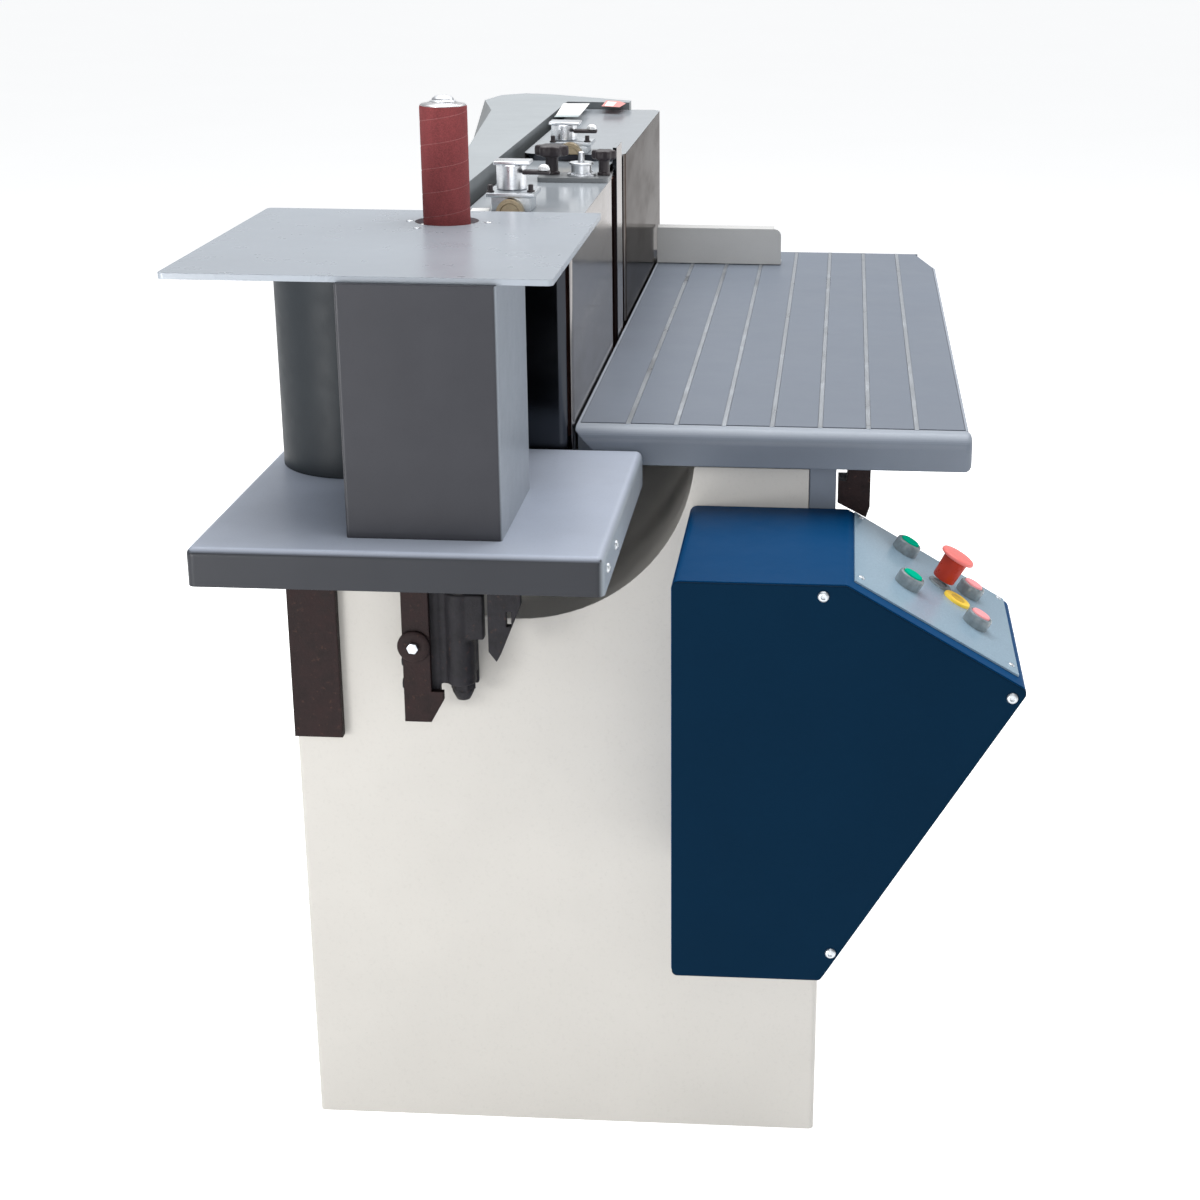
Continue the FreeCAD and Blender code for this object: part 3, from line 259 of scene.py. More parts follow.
looks = {
    "cream": enamel("cream_enamel", (0.54, 0.52, 0.485), 0.4, 0.025, 0.16, 0.03, 0.004, specular=0.3),
    "panel_cream": enamel("panel_enamel", (0.53, 0.51, 0.47), 0.4, 0.03, 0.1, 0.03, 0.004, specular=0.3),
    # painted light: the column's faces towards +X are painted much lighter than its dark front
    "column": enamel("column_paint", (0.034, 0.035, 0.042), 0.34, 0.05, 0.05, 0.04, 0.0025, 0.00004,
                     specular=0.25, right=(0.28, 0.31, 0.35)),
    # painted shade: the duct's faces towards +X are painted darker than the rest
    "duct": enamel("duct_paint", (0.024, 0.029, 0.034), 0.45, 0.08, 0.05, 0.05, 0.003, 0.00006,
                   specular=0.2, right=(0.010, 0.011, 0.013)),
    # painted light: the end table's top and its faces towards +X are painted much lighter than its dark
    # front faces
    "table": enamel("table_paint", (0.026, 0.028, 0.034), 0.36, 0.04, 0.08, 0.02, 0.0025, 0.00003,
                    specular=0.25, level=(0.46, 0.505, 0.60), right=(0.32, 0.36, 0.40)),
    "plate": enamel("plate_paint", (0.33, 0.365, 0.41), 0.28, 0.03, 0.12, 0.004, 0.0025, 0.00001, 0.001),
    # painted light: the frame's faces that look up are painted lighter than its sides
    "frame": enamel("frame_paint", (0.17, 0.195, 0.235), 0.36, 0.03, 0.06, 0.02, 0.0025, 0.00004, 0.002,
                    specular=0.3, level=(0.33, 0.365, 0.42)),
    "slat": enamel("slat_paint", (0.165, 0.19, 0.235), 0.4, 0.025, 0.25, 0.02, 0.002, 0.00004, 0.0006,
                   specular=0.3),
    "strip": metal("bright_strip", (0.50, 0.53, 0.57), 0.34, (1, 0.05, 1), 0.0015),
    # painted light: the hood's roof is painted lighter than its sides
    "hood": enamel("hood_paint", (0.15, 0.165, 0.175), 0.34, 0.04, 0.1, 0.005, 0.003, 0.00005,
                   level=(0.36, 0.39, 0.41)),
    "fence": enamel("fence_paint", (0.58, 0.58, 0.57), 0.34, 0.04, 0.1, 0.03, 0.003),
    # painted light and shade: the near and far casings are lit and shaded copies of one polished steel; the
    # far copy's darker steel, stains and reflection tint stand for shade
    "near_steel": casing_steel("lit_near_casing", (0.47, 0.45, 0.44), (0.33, 0.30, 0.28),
                               (0.8, 0.78, 0.77)),
    "far_steel": casing_steel("shaded_far_casing", (0.27, 0.245, 0.23), (0.15, 0.125, 0.11),
                              (0.2, 0.18, 0.17)),
    "bright": metal("turned_steel", (0.62, 0.62, 0.63), 0.28, (1, 1, 6), 0.0012),
    "chrome": metal("chrome", (0.80, 0.82, 0.85), 0.3, (1, 1, 2), 0.003, 0.08, 0.000002),
    "white_metal": metal("white_nickel", (0.92, 0.93, 0.94), 0.4, (1, 1, 1), 0.003, 0.05, 0.000002,
                         metallic=0.4),
    "zinc": metal("zinc_plate", (0.62, 0.65, 0.68), 0.38, (1, 1, 1), 0.003, 0.15, 0.00001),
    "bronze": metal("bronze", (0.62, 0.50, 0.33), 0.3, (1, 1, 1), 0.002, 0.35, 0.00006),
    "iron": casting("oiled_casting", (0.020, 0.0115, 0.0115)),
    "dark_casting": casting("dark_casting", (0.020, 0.019, 0.022)),
    "black_paint": enamel("dark_paint", (0.05, 0.05, 0.055), 0.4, 0.1, 0.04, 0.05, 0.003, 0.00015),
    "base_paint": enamel("base_paint", (0.20, 0.21, 0.22), 0.34, 0.08, 0.05, 0.05, 0.003, 0.0001),
    "blue": enamel("blue_enamel", (0.001, 0.050, 0.150), 0.45, 0.04, 0.1, 0.02, 0.003, 0.00004, 0.002,
                   specular=0.05),
    "navy": enamel("navy_enamel", (0.001, 0.0145, 0.036), 0.5, 0.04, 0.12, 0.02, 0.003, 0.00004, 0.002,
                   specular=0.03),
    "panel": metal("panel_plate", (0.27, 0.38, 0.47), 0.2, (0.05, 1, 1), 0.0012, 0.1, 0.00001, 0.0006, 0.0),
    "film": plastic("panel_film", (0.46, 0.55, 0.56), 0.3),
    "bezel": clear_plastic("smoky_bezel", (0.30, 0.36, 0.39)),
    "green": plastic("green_cap", (0.002, 0.40, 0.24), 0.4, specular=0.0),
    "red": plastic("red_cap", (0.92, 0.36, 0.38), 0.35, specular=0.1),
    "stop_top": plastic("stop_head", (0.86, 0.20, 0.18), 0.32, specular=0.35),
    "stop_skirt": plastic("stop_skirt", (0.46, 0.040, 0.020), 0.3, specular=0.2),
    "yellow": plastic("yellow_disc", (0.95, 0.66, 0.09), 0.4, specular=0.05),
    "ochre": plastic("yellow_inner", (0.66, 0.42, 0.04), 0.4, specular=0.25),
    "black": plastic("black_knob", (0.030, 0.022, 0.026), 0.34),
    "label": plastic("white_label", (0.90, 0.89, 0.87), 0.45),
    "red_label": plastic("red_label", (0.70, 0.28, 0.26), 0.45),
    "ink": plastic("legend_ink", (0.10, 0.12, 0.16), 0.5),
    "sleeve": abrasive("abrasive_sleeve", (0.22, 0.048, 0.050)),
    "seam": abrasive("sleeve_seam", (0.30, 0.10, 0.10)),
    "belt": abrasive("abrasive_belt", (0.22, 0.11, 0.09)),
    "rubber": rubber("black_rubber", (0.02, 0.02, 0.021)),
    "motor": enamel("motor_paint", (0.10, 0.12, 0.13), 0.45, 0.12, 0.04, 0.08, 0.003, 0.0003),
}

NODE_LOOKS = {
    "cream": ["cabinet_shell"],
    "panel_cream": ["access_panel"],
    "column": ["guard_column"],
    "duct": ["dust_duct"],
    "table": ["end_table"],
    "plate": ["top_plate"],
    "frame": ["table_frame", "table_stop"],
    "slat": ["table_slats"],
    "strip": ["slat_strips"],
    "hood": ["belt_hood", "dust_outlet"],
    "fence": ["fence"],
    "near_steel": ["near_casing", "bridge_cover"],
    "far_steel": ["far_casing"],
    "bright": ["near_drum", "far_drum", "drum_bearings", "spindle_shaft", "spindle_pulley",
               "drum_pulley", "lift_rods", "lift_guides", "pressure_platen", "drum_cap",
               "adjuster_blocks", "tracking_hub"],
    "chrome": ["near_tension_lever", "far_tension_lever", "spindle_nut"],
    "zinc": ["table_screws", "control_screws", "clamp_bolt"],
    "bronze": ["bronze_shoes"],
    "iron": ["guide_bars", "table_bracket"],
    "dark_casting": ["table_gusset", "height_casting"],
    "black_paint": ["cabinet_base", "unit_deck", "spindle_housing"],
    "base_paint": ["tracking_base"],
    "blue": ["control_box"],
    "navy": ["control_cover"],
    "panel": ["control_panel"],
    "bezel": ["button_bezels"],
    "green": ["green_start_button", "green_feed_button"],
    "red": ["red_stop_button", "red_feed_button"],
    "stop_top": ["stop_button"],
    "yellow": ["indicator_disc"],
    "black": ["tension_knob", "tracking_knob"],
    "sleeve": ["sanding_sleeve"],
    "belt": ["abrasive_belt"],
    "rubber": ["rubber_drum", "spindle_drive_belt"],
    "motor": ["drive_motor"],
}
for look, names in NODE_LOOKS.items():
    for name in names:
        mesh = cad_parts[name].data
        mesh.materials.clear()
        mesh.materials.append(looks[look])


# ---------------------------------------------------------------- mesh helpers

def piece(name, mesh_maker, look, body, smooth_angle=35, replaces=None):
    """A new object from a bmesh builder, finished, smoothed and riding on a body."""
    form = bmesh.new()
    mesh_maker(form)
    bmesh.ops.recalc_face_normals(form, faces=form.faces)
    mesh = bpy.data.meshes.new(name)
    form.to_mesh(mesh)
    form.free()
    obj = bpy.data.objects.new(name, mesh)
    bpy.context.scene.collection.objects.link(obj)
    mesh.materials.append(looks[look])
    if smooth_angle:
        mesh.shade_smooth()
        mesh.set_sharp_from_angle(angle=math.radians(smooth_angle))
    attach(obj, body)
    if replaces:
        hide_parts(replaces)
    return obj


def aim(centre, axis):
    """Transform that takes the origin's Z axis to an axis through a centre."""
    turn = Vector(axis).normalized().to_track_quat("Z", "X")
    return Matrix.Translation(centre) @ turn.to_matrix().to_4x4()


def lathe(form, profile, centre, axis=UP, segments=64):
    """Turn a profile of (radius, height) in millimetres about an axis."""
    turn = aim(centre, axis)
    rings = []
    for radius, height in profile:
        if radius == 0:
            rings.append([form.verts.new(turn @ Vector((0, 0, height * MM)))])
            continue
        angles = [2 * math.pi * k / segments for k in range(segments)]
        rings.append([form.verts.new(turn @ Vector((radius * MM * math.cos(angle),
                                                    radius * MM * math.sin(angle),
                                                    height * MM))) for angle in angles])
    for low, high in zip(rings, rings[1:]):
        for k in range(segments):
            corners = [low[k % len(low)], low[(k + 1) % len(low)],
                       high[(k + 1) % len(high)], high[k % len(high)]]
            unique = list(dict.fromkeys(corners))
            if len(unique) > 2:
                form.faces.new(unique)
    for ring in (rings[0], rings[-1]):
        if len(ring) > 1:
            form.faces.new(ring)


def slab(form, low, high, bevel):
    """A block with rounded edges between two corners in metres."""
    made = bmesh.ops.create_cube(form, size=1.0)["verts"]
    size = Vector(high) - Vector(low)
    centre = (Vector(high) + Vector(low)) / 2
    for vert in made:
        vert.co = Vector((vert.co.x * size.x, vert.co.y * size.y, vert.co.z * size.z)) + centre
    edges = dict.fromkeys(edge for vert in made for edge in vert.link_edges)
    bmesh.ops.bevel(form, geom=list(edges), offset=bevel * MM, segments=3, profile=0.5,
                    affect="EDGES")


def prism(form, outline, low, high, centre, axis=UP, bevel=0.0):
    """Extrude a flat outline, in millimetres, between two heights along an axis."""
    turn = aim(centre, axis)
    base = [form.verts.new(turn @ Vector((x * MM, y * MM, low * MM))) for x, y in outline]
    top = [form.verts.new(turn @ Vector((x * MM, y * MM, high * MM))) for x, y in outline]
    count = len(outline)
    faces = [form.faces.new(base), form.faces.new(top)]
    for k in range(count):
        form.faces.new((base[k], base[(k + 1) % count], top[(k + 1) % count], top[k]))
    if bevel:
        rim = dict.fromkeys(edge for face in faces for edge in face.edges)
        bmesh.ops.bevel(form, geom=list(rim), offset=bevel * MM, segments=2, profile=0.5, affect="EDGES")


def ring_points(radius, count, start=0.0):
    """Evenly spaced points of a circle, the first at a start angle."""
    angles = [start + 2 * math.pi * k / count for k in range(count)]
    return [(radius * math.cos(angle), radius * math.sin(angle)) for angle in angles]


def skin(form, loops):
    """Join rings of equal length with quads."""
    for first, second in zip(loops, loops[1:]):
        for k in range(len(first)):
            after = (k + 1) % len(first)
            form.faces.new((first[k], first[after], second[after], second[k]))


def thin_plate(form, points, place, rise=0.25):
    """A closed plate over flat points; place(x, y, level) gives a corner, with the level in millimetres."""
    rings = [[form.verts.new(place(x, y, level)) for x, y in points] for level in (0.02, rise)]
    skin(form, rings)
    form.faces.new(rings[0])
    form.faces.new(rings[1])


def loose_parts(mesh):
    """The corner points of each separate solid in a mesh."""
    form = bmesh.new()
    form.from_mesh(mesh)
    bmesh.ops.remove_doubles(form, verts=form.verts, dist=1e-6)
    seen = set()
    parts = []
    for vert in form.verts:
        if vert in seen:
            continue
        stack, part = [vert], []
        seen.add(vert)
        while stack:
            item = stack.pop()
            part.append(item.co.copy())
            for edge in item.link_edges:
                other = edge.other_vert(item)
                if other not in seen:
                    seen.add(other)
                    stack.append(other)
        parts.append(part)
    form.free()
    return parts


def middle(node):
    """Centre of a node's box."""
    low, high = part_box(node)
    return (low + high) / 2


def axis_point(node):
    """Mean of a node's corners, which for a turned piece lies on its axis."""
    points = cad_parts[node].data.vertices
    return sum((vert.co for vert in points), Vector()) / len(points)


# ---------------------------------------------------------------- sanding drum

def sanding_drum():
    """Spiral-wound sleeve with a lighter glue seam, pressed washer and low dome nut."""
    low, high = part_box("sanding_sleeve")
    centre = Vector(((low.x + high.x) / 2, (low.y + high.y) / 2, low.z))
    radius = (high.x - low.x) / 2
    tall = high.z - low.z
    inner = radius - 1.5 * MM
    pitch = tall / 5.2
    soft = 0.8 * MM          # reach of the rounded rims and of the seam's groove
    turns, rows = 96, 150

    def around(reach, angle, z):
        return centre + Vector((reach * math.cos(angle), reach * math.sin(angle), z))

    def sleeve(form):
        loops = []
        for j in range(rows + 1):
            z = tall * j / rows
            edge = 0.5 * MM * math.exp(-min(z, tall - z) / soft)
            ring = []
            for k in range(turns):
                phase = (z / pitch - k / turns) % 1.0
                lap = min(phase, 1 - phase) * pitch
                groove = 0.3 * MM * math.exp(-(lap / soft) ** 2)
                ring.append(form.verts.new(around(radius - groove - edge, 2 * math.pi * k / turns, z)))
            loops.append(ring)
        for z in (tall, 0):
            loops.append([form.verts.new(around(inner, 2 * math.pi * k / turns, z)) for k in range(turns)])
        skin(form, loops + loops[:1])
    piece("spiral_sleeve", sleeve, "sleeve", "spindle", 50, "sanding_sleeve")

    def seam(form):
        """A narrow strip in the groove, ending short of both rims."""
        count = int(turns * tall / pitch)
        rails = []
        for k in range(1, count - 3):
            angle = 2 * math.pi * k / turns
            z = pitch * k / turns
            rails.append([form.verts.new(around(radius + out * MM, angle, z + up * MM))
                          for out, up in ((-0.4, 0.0), (-0.12, 0.0), (-0.12, 0.9), (-0.4, 0.9))])
        skin(form, rails)
        form.faces.new(rails[0])
        form.faces.new(rails[-1])
    piece("sleeve_seam", seam, "seam", "spindle", 50, None)

    rim = Vector((centre.x, centre.y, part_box("drum_cap")[0].z))

    def washer(form):
        lathe(form, [(10, 0), (24.5, 0), (24.5, 1.0), (23.4, 1.8), (20, 2.2), (15, 3.9), (10, 3.9)], rim)
    piece("pressed_washer", washer, "bright", "spindle", 40, "drum_cap")

    nut = Vector((centre.x, centre.y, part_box("spindle_nut")[0].z))

    def dome(form):
        crown = [(12 * math.cos(math.radians(a)), 1.8 + 5.2 * math.sin(math.radians(a)))
                 for a in range(0, 90, 15)]
        lathe(form, [(0, 0), (14, 0), (14, 1.0), (12.6, 1.5)] + crown + [(0, 7)], nut)
    piece("dome_nut", dome, "chrome", "spindle", 40, "spindle_nut")


# ---------------------------------------------------------------- adjusters

def lever_pin(name):
    """The foot of a lever's pin, and the height of its cylinder in millimetres."""
    low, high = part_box(name)
    foot = Vector((low.x + LEVER_PIN * MM, high.y - CHROME_RADIUS * MM, low.z))
    return foot, (high.z - low.z) / MM - LID


def tension_lever(name):
    """Chromed cylinder with a square lid, a black side arm and a white dome nut."""
    low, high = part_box(name)
    pin, tall = lever_pin(name)
    arm_low = tall - 10

    def body(form):
        lathe(form, [(6.1, 0), (16.2, 0), (CHROME_RADIUS, 1.2), (CHROME_RADIUS, tall - 1),
                     (16.5, tall - 0.1), (6.1, tall - 0.1)], pin, segments=72)
        slab(form, (low.x, pin.y - 16 * MM, high.z - LID * MM),
             (low.x + 42 * MM, pin.y + 16 * MM, high.z), 1.0)
    piece(name + "_drum", body, "chrome", name, 40, name)

    nut = pin + Vector((40, -16, arm_low)) * MM

    def arm(form):
        slab(form, (pin.x + 15 * MM, pin.y - 21 * MM, nut.z),
             (high.x - 1 * MM, pin.y - 9 * MM, nut.z + 5 * MM), 2.0)
        lathe(form, [(0, 0.3), (3, 0.3), (3, 2), (0, 2)], nut, segments=24)
    piece(name + "_arm", arm, "black", name, 40, None)

    def dome(form):
        crown = [(6.4 * math.cos(math.radians(a)), 7.5 + 4.4 * math.sin(math.radians(a)))
                 for a in range(15, 90, 15)]
        prism(form, ring_points(7, 6, 0.3), 5, 7.5, nut, bevel=0.4)
        lathe(form, [(6.4, 7.3)] + crown + [(0, 11.9)], nut, segments=32)
    piece(name + "_cap_nut", dome, "white_metal", name, 40, None)


def adjuster_blocks():
    """Blocks under the levers: base block, low plate, pin, two black studs and a half-round shoe."""
    plate = 5
    for tag, rise, lip, pin_x in ADJUSTERS:
        pin, tall = lever_pin(tag + "_tension_lever")
        pin.z -= 0.3 * MM
        x, y, top = pin.x - pin_x * MM, pin.y - 30 * MM, pin.z
        base = top - (rise + plate) * MM

        def block(form, x=x, y=y, base=base, top=top, pin=pin, lip=lip, tall=tall):
            slab(form, (x - 23 * MM, y, base), (x + 23 * MM, y + 46 * MM, top - plate * MM), 1.2)
            slab(form, (x - 28 * MM, y - lip * MM, top - plate * MM), (x + 28 * MM, y + 54 * MM, top), 0.8)
            lathe(form, [(0, 0), (6, 0), (6, tall + 3), (5, tall + 3.9), (0, tall + 3.9)], pin, segments=32)
        piece(tag + "_adjuster_block", block, "zinc", "machine_frame", 40,
              "adjuster_blocks" if tag == "near" else None)

        def studs(form, x=x, y=y, top=top):
            for dx, dy in ((-24, 4), (22, 10)):
                lathe(form, [(0, 0), (4.5, 0), (4.5, 1.6), (3, 2), (3, 8), (2.4, 8.4), (0, 8.4)],
                      Vector((x + dx * MM, y + dy * MM, top)), segments=24)
        piece(tag + "_studs", studs, "black", "machine_frame", 40, None)

        def shoe(form, x=x, y=y, base=base):
            """Half-round shoe with a dished face."""
            foot = Vector((x, y - 12 * MM, base))
            angles = [math.radians(degrees) for degrees in range(0, 181, 10)]
            loops = [[form.verts.new(foot + Vector((reach * math.cos(angle), depth,
                                                    reach * math.sin(angle))) * MM) for angle in angles]
                     for reach, depth in ((16, 11.8), (16, 0), (11.5, 0), (10.5, 3))]
            skin(form, loops)
            form.faces.new(loops[0])
            form.faces.new(loops[-1])
        piece(tag + "_half_round_shoe", shoe, "bronze", "machine_frame", 40,
              "bronze_shoes" if tag == "near" else None)


def lobed_knob(name, radius, stem):
    """Hand knob: six soft lobes, a dished top and a collar on its stem."""
    low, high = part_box(name)
    centre = middle(name)
    base = Vector((centre.x, centre.y, low.z))
    tall = (high.z - low.z) / MM
    head = tall * 0.37
    lobes, count = 6, 96

    def build(form):
        rings = []
        for inset, height in ((0.16, tall - head), (0.04, tall - head + 1.2), (0.0, tall - head + 3),
                              (0.0, tall - 3), (0.04, tall - 1), (0.14, tall), (0.45, tall - 0.2)):
            ring = []
            for k in range(count):
                angle = 2 * math.pi * k / count
                reach = radius * (0.865 + 0.125 * math.cos(lobes * angle)) * (1 - inset)
                ring.append(form.verts.new(base + Vector((reach * math.cos(angle) * MM,
                                                          reach * math.sin(angle) * MM, height * MM))))
            rings.append(ring)
        skin(form, rings)
        form.faces.new(rings[0])
        form.faces.new(rings[-1])
        lathe(form, [(0, 0), (stem, 0), (stem, 3), (stem * 0.82, 4), (stem * 0.82, tall - head - 3),
                     (stem, tall - head + 1), (0, tall - head + 1)], base, segments=40)
    piece(name + "_moulding", build, "black", name, 50, name)


def tracking_hub():
    """Turned hub on its flange, with a stem and four small screws in its rim."""
    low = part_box("tracking_hub")[0]
    centre = middle("tracking_hub")
    base = Vector((centre.x, centre.y, low.z))

    def hub(form):
        lathe(form, [(0, 0), (18, 0), (18, 2.4), (17.2, 3), (13, 3.2), (13, 13.6), (14.8, 14), (15.5, 14.8),
                     (15.5, 16.4), (14.8, 17), (5, 17), (4, 17), (4, 29), (3, 30), (0, 30)], base)
        for x, y in ring_points(15.4, 4, math.pi / 4):
            prism(form, ring_points(2.3, 6), 3.0, 5.0, base + Vector((x * MM, y * MM, 0)))
    piece("turned_hub", hub, "chrome", "machine_frame", 40, "tracking_hub")


# ---------------------------------------------------------------- control panel

def panel_face(node):
    """Where a turned piece's axis meets the panel's face."""
    low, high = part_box("control_panel")
    start = Vector((low.x, 0, high.z))
    point = axis_point(node)
    offset = (point - start).dot(PANEL_AXIS)
    return point - PANEL_AXIS * offset


def push_buttons():
    """Four capped buttons in smoky bezels, the mushroom stop button and the yellow disc."""
    for name in PUSH_BUTTONS:
        foot = panel_face(name)
        look = "green" if name.startswith("green") else "red"

        def cap(form, foot=foot):
            lathe(form, [(0, 9), (10.9, 9), (10.9, 14.6), (10.3, 15.5), (8.8, 15.9), (7.6, 15.7),
                         (0, 15.4)], foot, PANEL_AXIS, 56)
        piece(name + "_cap", cap, look, name, 40, name)

        def bezel(form, foot=foot):
            lathe(form, [(11.3, 4), (11.3, 13.2), (11.8, 14), (13.2, 14), (14.2, 13.4), (14.9, 11.5),
                         (15, 2.2), (14.6, 0.3), (13, 0), (0, 0), (0, 4), (11.3, 4)],
                  foot, PANEL_AXIS, 56)
        piece(name + "_bezel", bezel, "bezel", "machine_frame", 40,
              "button_bezels" if name == "green_start_button" else None)

    foot = panel_face("stop_button")

    def skirt(form):
        lathe(form, [(0, 8.2), (12.6, 8.2), (13.2, 9.2), (13.6, 22), (14.2, 33), (14.8, 36.5), (0, 36.5)],
              foot, PANEL_AXIS, 64)
    piece("stop_button_skirt", skirt, "stop_skirt", "stop_button", 40, "stop_button")

    def head(form):
        lathe(form, [(0, 36.3), (18.4, 36.3), (19.6, 36.9), (20, 38), (19.8, 39.4), (18.9, 40.4),
                     (16, 40.9), (8, 41.0), (0, 41.0)], foot, PANEL_AXIS, 72)
    piece("stop_button_head", head, "stop_top", "stop_button", 40, None)

    def collar(form):
        lathe(form, [(0, 0), (14, 0), (14, 1.8), (13.2, 2.8), (8.3, 2.9), (8.3, 2), (0, 2)],
              foot, PANEL_AXIS, 56)
    piece("stop_collar", collar, "bezel", "machine_frame", 40, None)

    foot = panel_face("indicator_disc")

    def disc(form):
        lathe(form, [(0, 0), (16, 0), (16, 2.6), (15.2, 3.6), (13, 4), (11.5, 3.6), (0, 3.5)],
              foot, PANEL_AXIS, 64)
    piece("yellow_disc", disc, "yellow", "machine_frame", 40, "indicator_disc")

    def inner(form):
        lathe(form, [(0, 3.4), (8.5, 3.4), (8.5, 3.8), (7.8, 4.0), (0, 4.0)], foot, PANEL_AXIS, 48)
    piece("yellow_disc_inner", inner, "ochre", "machine_frame", 40, None)


def panel_marks():
    """The panel's clear film edge, a blank warning triangle, plain legend bars and two dark marks."""
    low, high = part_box("control_panel")
    corner = Vector((low.x, high.y, high.z))
    down = Vector((math.cos(PANEL_TILT), 0, -math.sin(PANEL_TILT)))
    forwards = (high.y - low.y) / MM
    slope = (high.x - low.x) / math.cos(PANEL_TILT) / MM - 2 * math.tan(PANEL_TILT)

    def place(s, y, level):
        """A point so far down the slope, towards the front and off the panel's face."""
        return corner + down * s * MM + FRONT * y * MM + PANEL_AXIS * level * MM

    def block(form, s, y, deep, wide):
        thin_plate(form, [(s, y), (s + deep, y), (s + deep, y + wide), (s, y + wide)], place)

    def where(node):
        offset = panel_face(node) - corner
        return offset.dot(down) / MM, -offset.y / MM

    def film(form):
        edge = 2.5
        block(form, 1, 1, edge, forwards - 2)
        block(form, slope - edge - 1, 1, edge, forwards - 2)
        block(form, 1 + edge, forwards - edge - 1, slope - 2 * edge - 2, edge)
    piece("panel_film_edge", film, "film", "machine_frame", 0, None)

    def legends(form):
        for name in PUSH_BUTTONS:
            s, y = where(name)
            block(form, s + 20, y - 8, 2, 16)
            block(form, s + 24, y - 5, 1.2, 10)
    piece("legend_bars", legends, "ink", "machine_frame", 0, None)

    s, y = where("stop_button")

    def marks(form):
        thin_plate(form, [(s - 8 + a, y + 38 + b) for a, b in ring_points(7, 8)], place)
        thin_plate(form, [(s - 2 + a, y + 54 + b) for a, b in ring_points(4.5, 6)], place)
    piece("dark_marks", marks, "ink", "machine_frame", 0, None)

    def triangle(form):
        thin_plate(form, [(s - 12, y + 12), (s - 30, y + 45), (s - 10, y + 48)], place, 0.3)
    piece("warning_triangle", triangle, "yellow", "machine_frame", 0, None)


def socket_screws():
    """Dome-headed socket screws on the control box and panel, and on the end table's edge."""
    def head(form, centre, axis, radius, rise):
        lathe(form, [(0, 0), (radius, 0), (radius, rise * 0.3), (radius * 0.86, rise * 0.72),
                     (radius * 0.6, rise), (radius * 0.46, rise), (radius * 0.4, rise * 0.45),
                     (0, rise * 0.4)], centre, axis, 28)

    for node, body in (("control_screws", "machine_frame"), ("table_screws", "end_table")):
        parts = loose_parts(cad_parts[node].data)

        def screws(target, parts=parts, node=node):
            for part in parts:
                centre = sum(part, Vector()) / len(part)
                size = [max(p[k] for p in part) - min(p[k] for p in part) for k in range(3)]
                if node == "control_screws" and size[1] < size[0] * 0.6:
                    radius, rise, axis = size[0] / 2 / MM, size[1] / MM, FRONT
                elif node == "control_screws":
                    radius, rise, axis = size[1] / 2 / MM, 1.6, PANEL_AXIS
                elif size[0] < size[1]:
                    radius, rise, axis = size[1] / 2 / MM, size[0] / MM, Vector((1, 0, 0))
                else:
                    radius, rise, axis = size[0] / 2 / MM, size[2] / MM, UP
                head(target, centre - axis * rise * MM / 2, axis, radius, rise)
        piece(node + "_heads", screws, "zinc", body, 35, node)


# ---------------------------------------------------------------- brackets

def soft_casting(node, body, voxel=1.6, smooth=6):
    """A cast version of a bracket: its corners melted by a remesh and smoothing."""
    obj = bpy.data.objects.new(node + "_cast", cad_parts[node].data.copy())
    bpy.context.scene.collection.objects.link(obj)
    bpy.context.view_layer.objects.active = obj
    remesh = obj.modifiers.new("remesh", "REMESH")
    remesh.mode = "VOXEL"
    remesh.voxel_size = voxel * MM
    soften = obj.modifiers.new("soften", "SMOOTH")
    soften.factor = 0.5
    soften.iterations = smooth
    graph = bpy.context.evaluated_depsgraph_get()
    mesh = bpy.data.meshes.new_from_object(obj.evaluated_get(graph))
    obj.modifiers.clear()
    obj.data = mesh
    mesh.materials.clear()
    mesh.materials.append(looks["dark_casting"])
    mesh.shade_smooth()
    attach(obj, body)
    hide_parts(node)


def clamp_bolt():
    """Dark round clamp plate with a small bright hexagon head."""
    low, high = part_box("clamp_bolt")
    centre = Vector(((low.x + high.x) / 2, high.y, (low.z + high.z) / 2))
    thread = (high.y - low.y) / MM - 11

    def washer(form):
        lathe(form, [(0, 0), (5, 0), (5, thread), (19, thread), (19, thread + 3), (17, thread + 4.6),
                     (12, thread + 5), (0, thread + 5)], centre, FRONT, 56)
    piece("clamp_plate", washer, "iron", "end_table", 40, "clamp_bolt")

    def head(form):
        prism(form, ring_points(7, 6, 0.4), thread + 4.9, thread + 10.5, centre, FRONT, 0.6)
    piece("clamp_head", head, "zinc", "end_table", 40, None)


def spindle_foot():
    """Blackened shaft end with its hexagon below the casting."""
    low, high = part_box("spindle_shaft")
    base = Vector(((low.x + high.x) / 2, (low.y + high.y) / 2, low.z))
    tall = (high.z - low.z) / MM

    def shaft(form):
        lathe(form, [(0, 21.2), (9.8, 21.2), (10, 21.6), (10, tall - 1), (9, tall), (0, tall)],
              base, segments=48)
    piece("turned_spindle", shaft, "bright", "spindle", 40, "spindle_shaft")

    def foot(form):
        prism(form, ring_points(14.3, 6), 12, 21, base, bevel=0.8)
        lathe(form, [(0, 0), (7.4, 0), (8.2, 0.8), (12.4, 9.5), (13, 12.2), (0, 12.2)], base, segments=48)
    piece("spindle_hexagon", foot, "dark_casting", "spindle", 40, None)


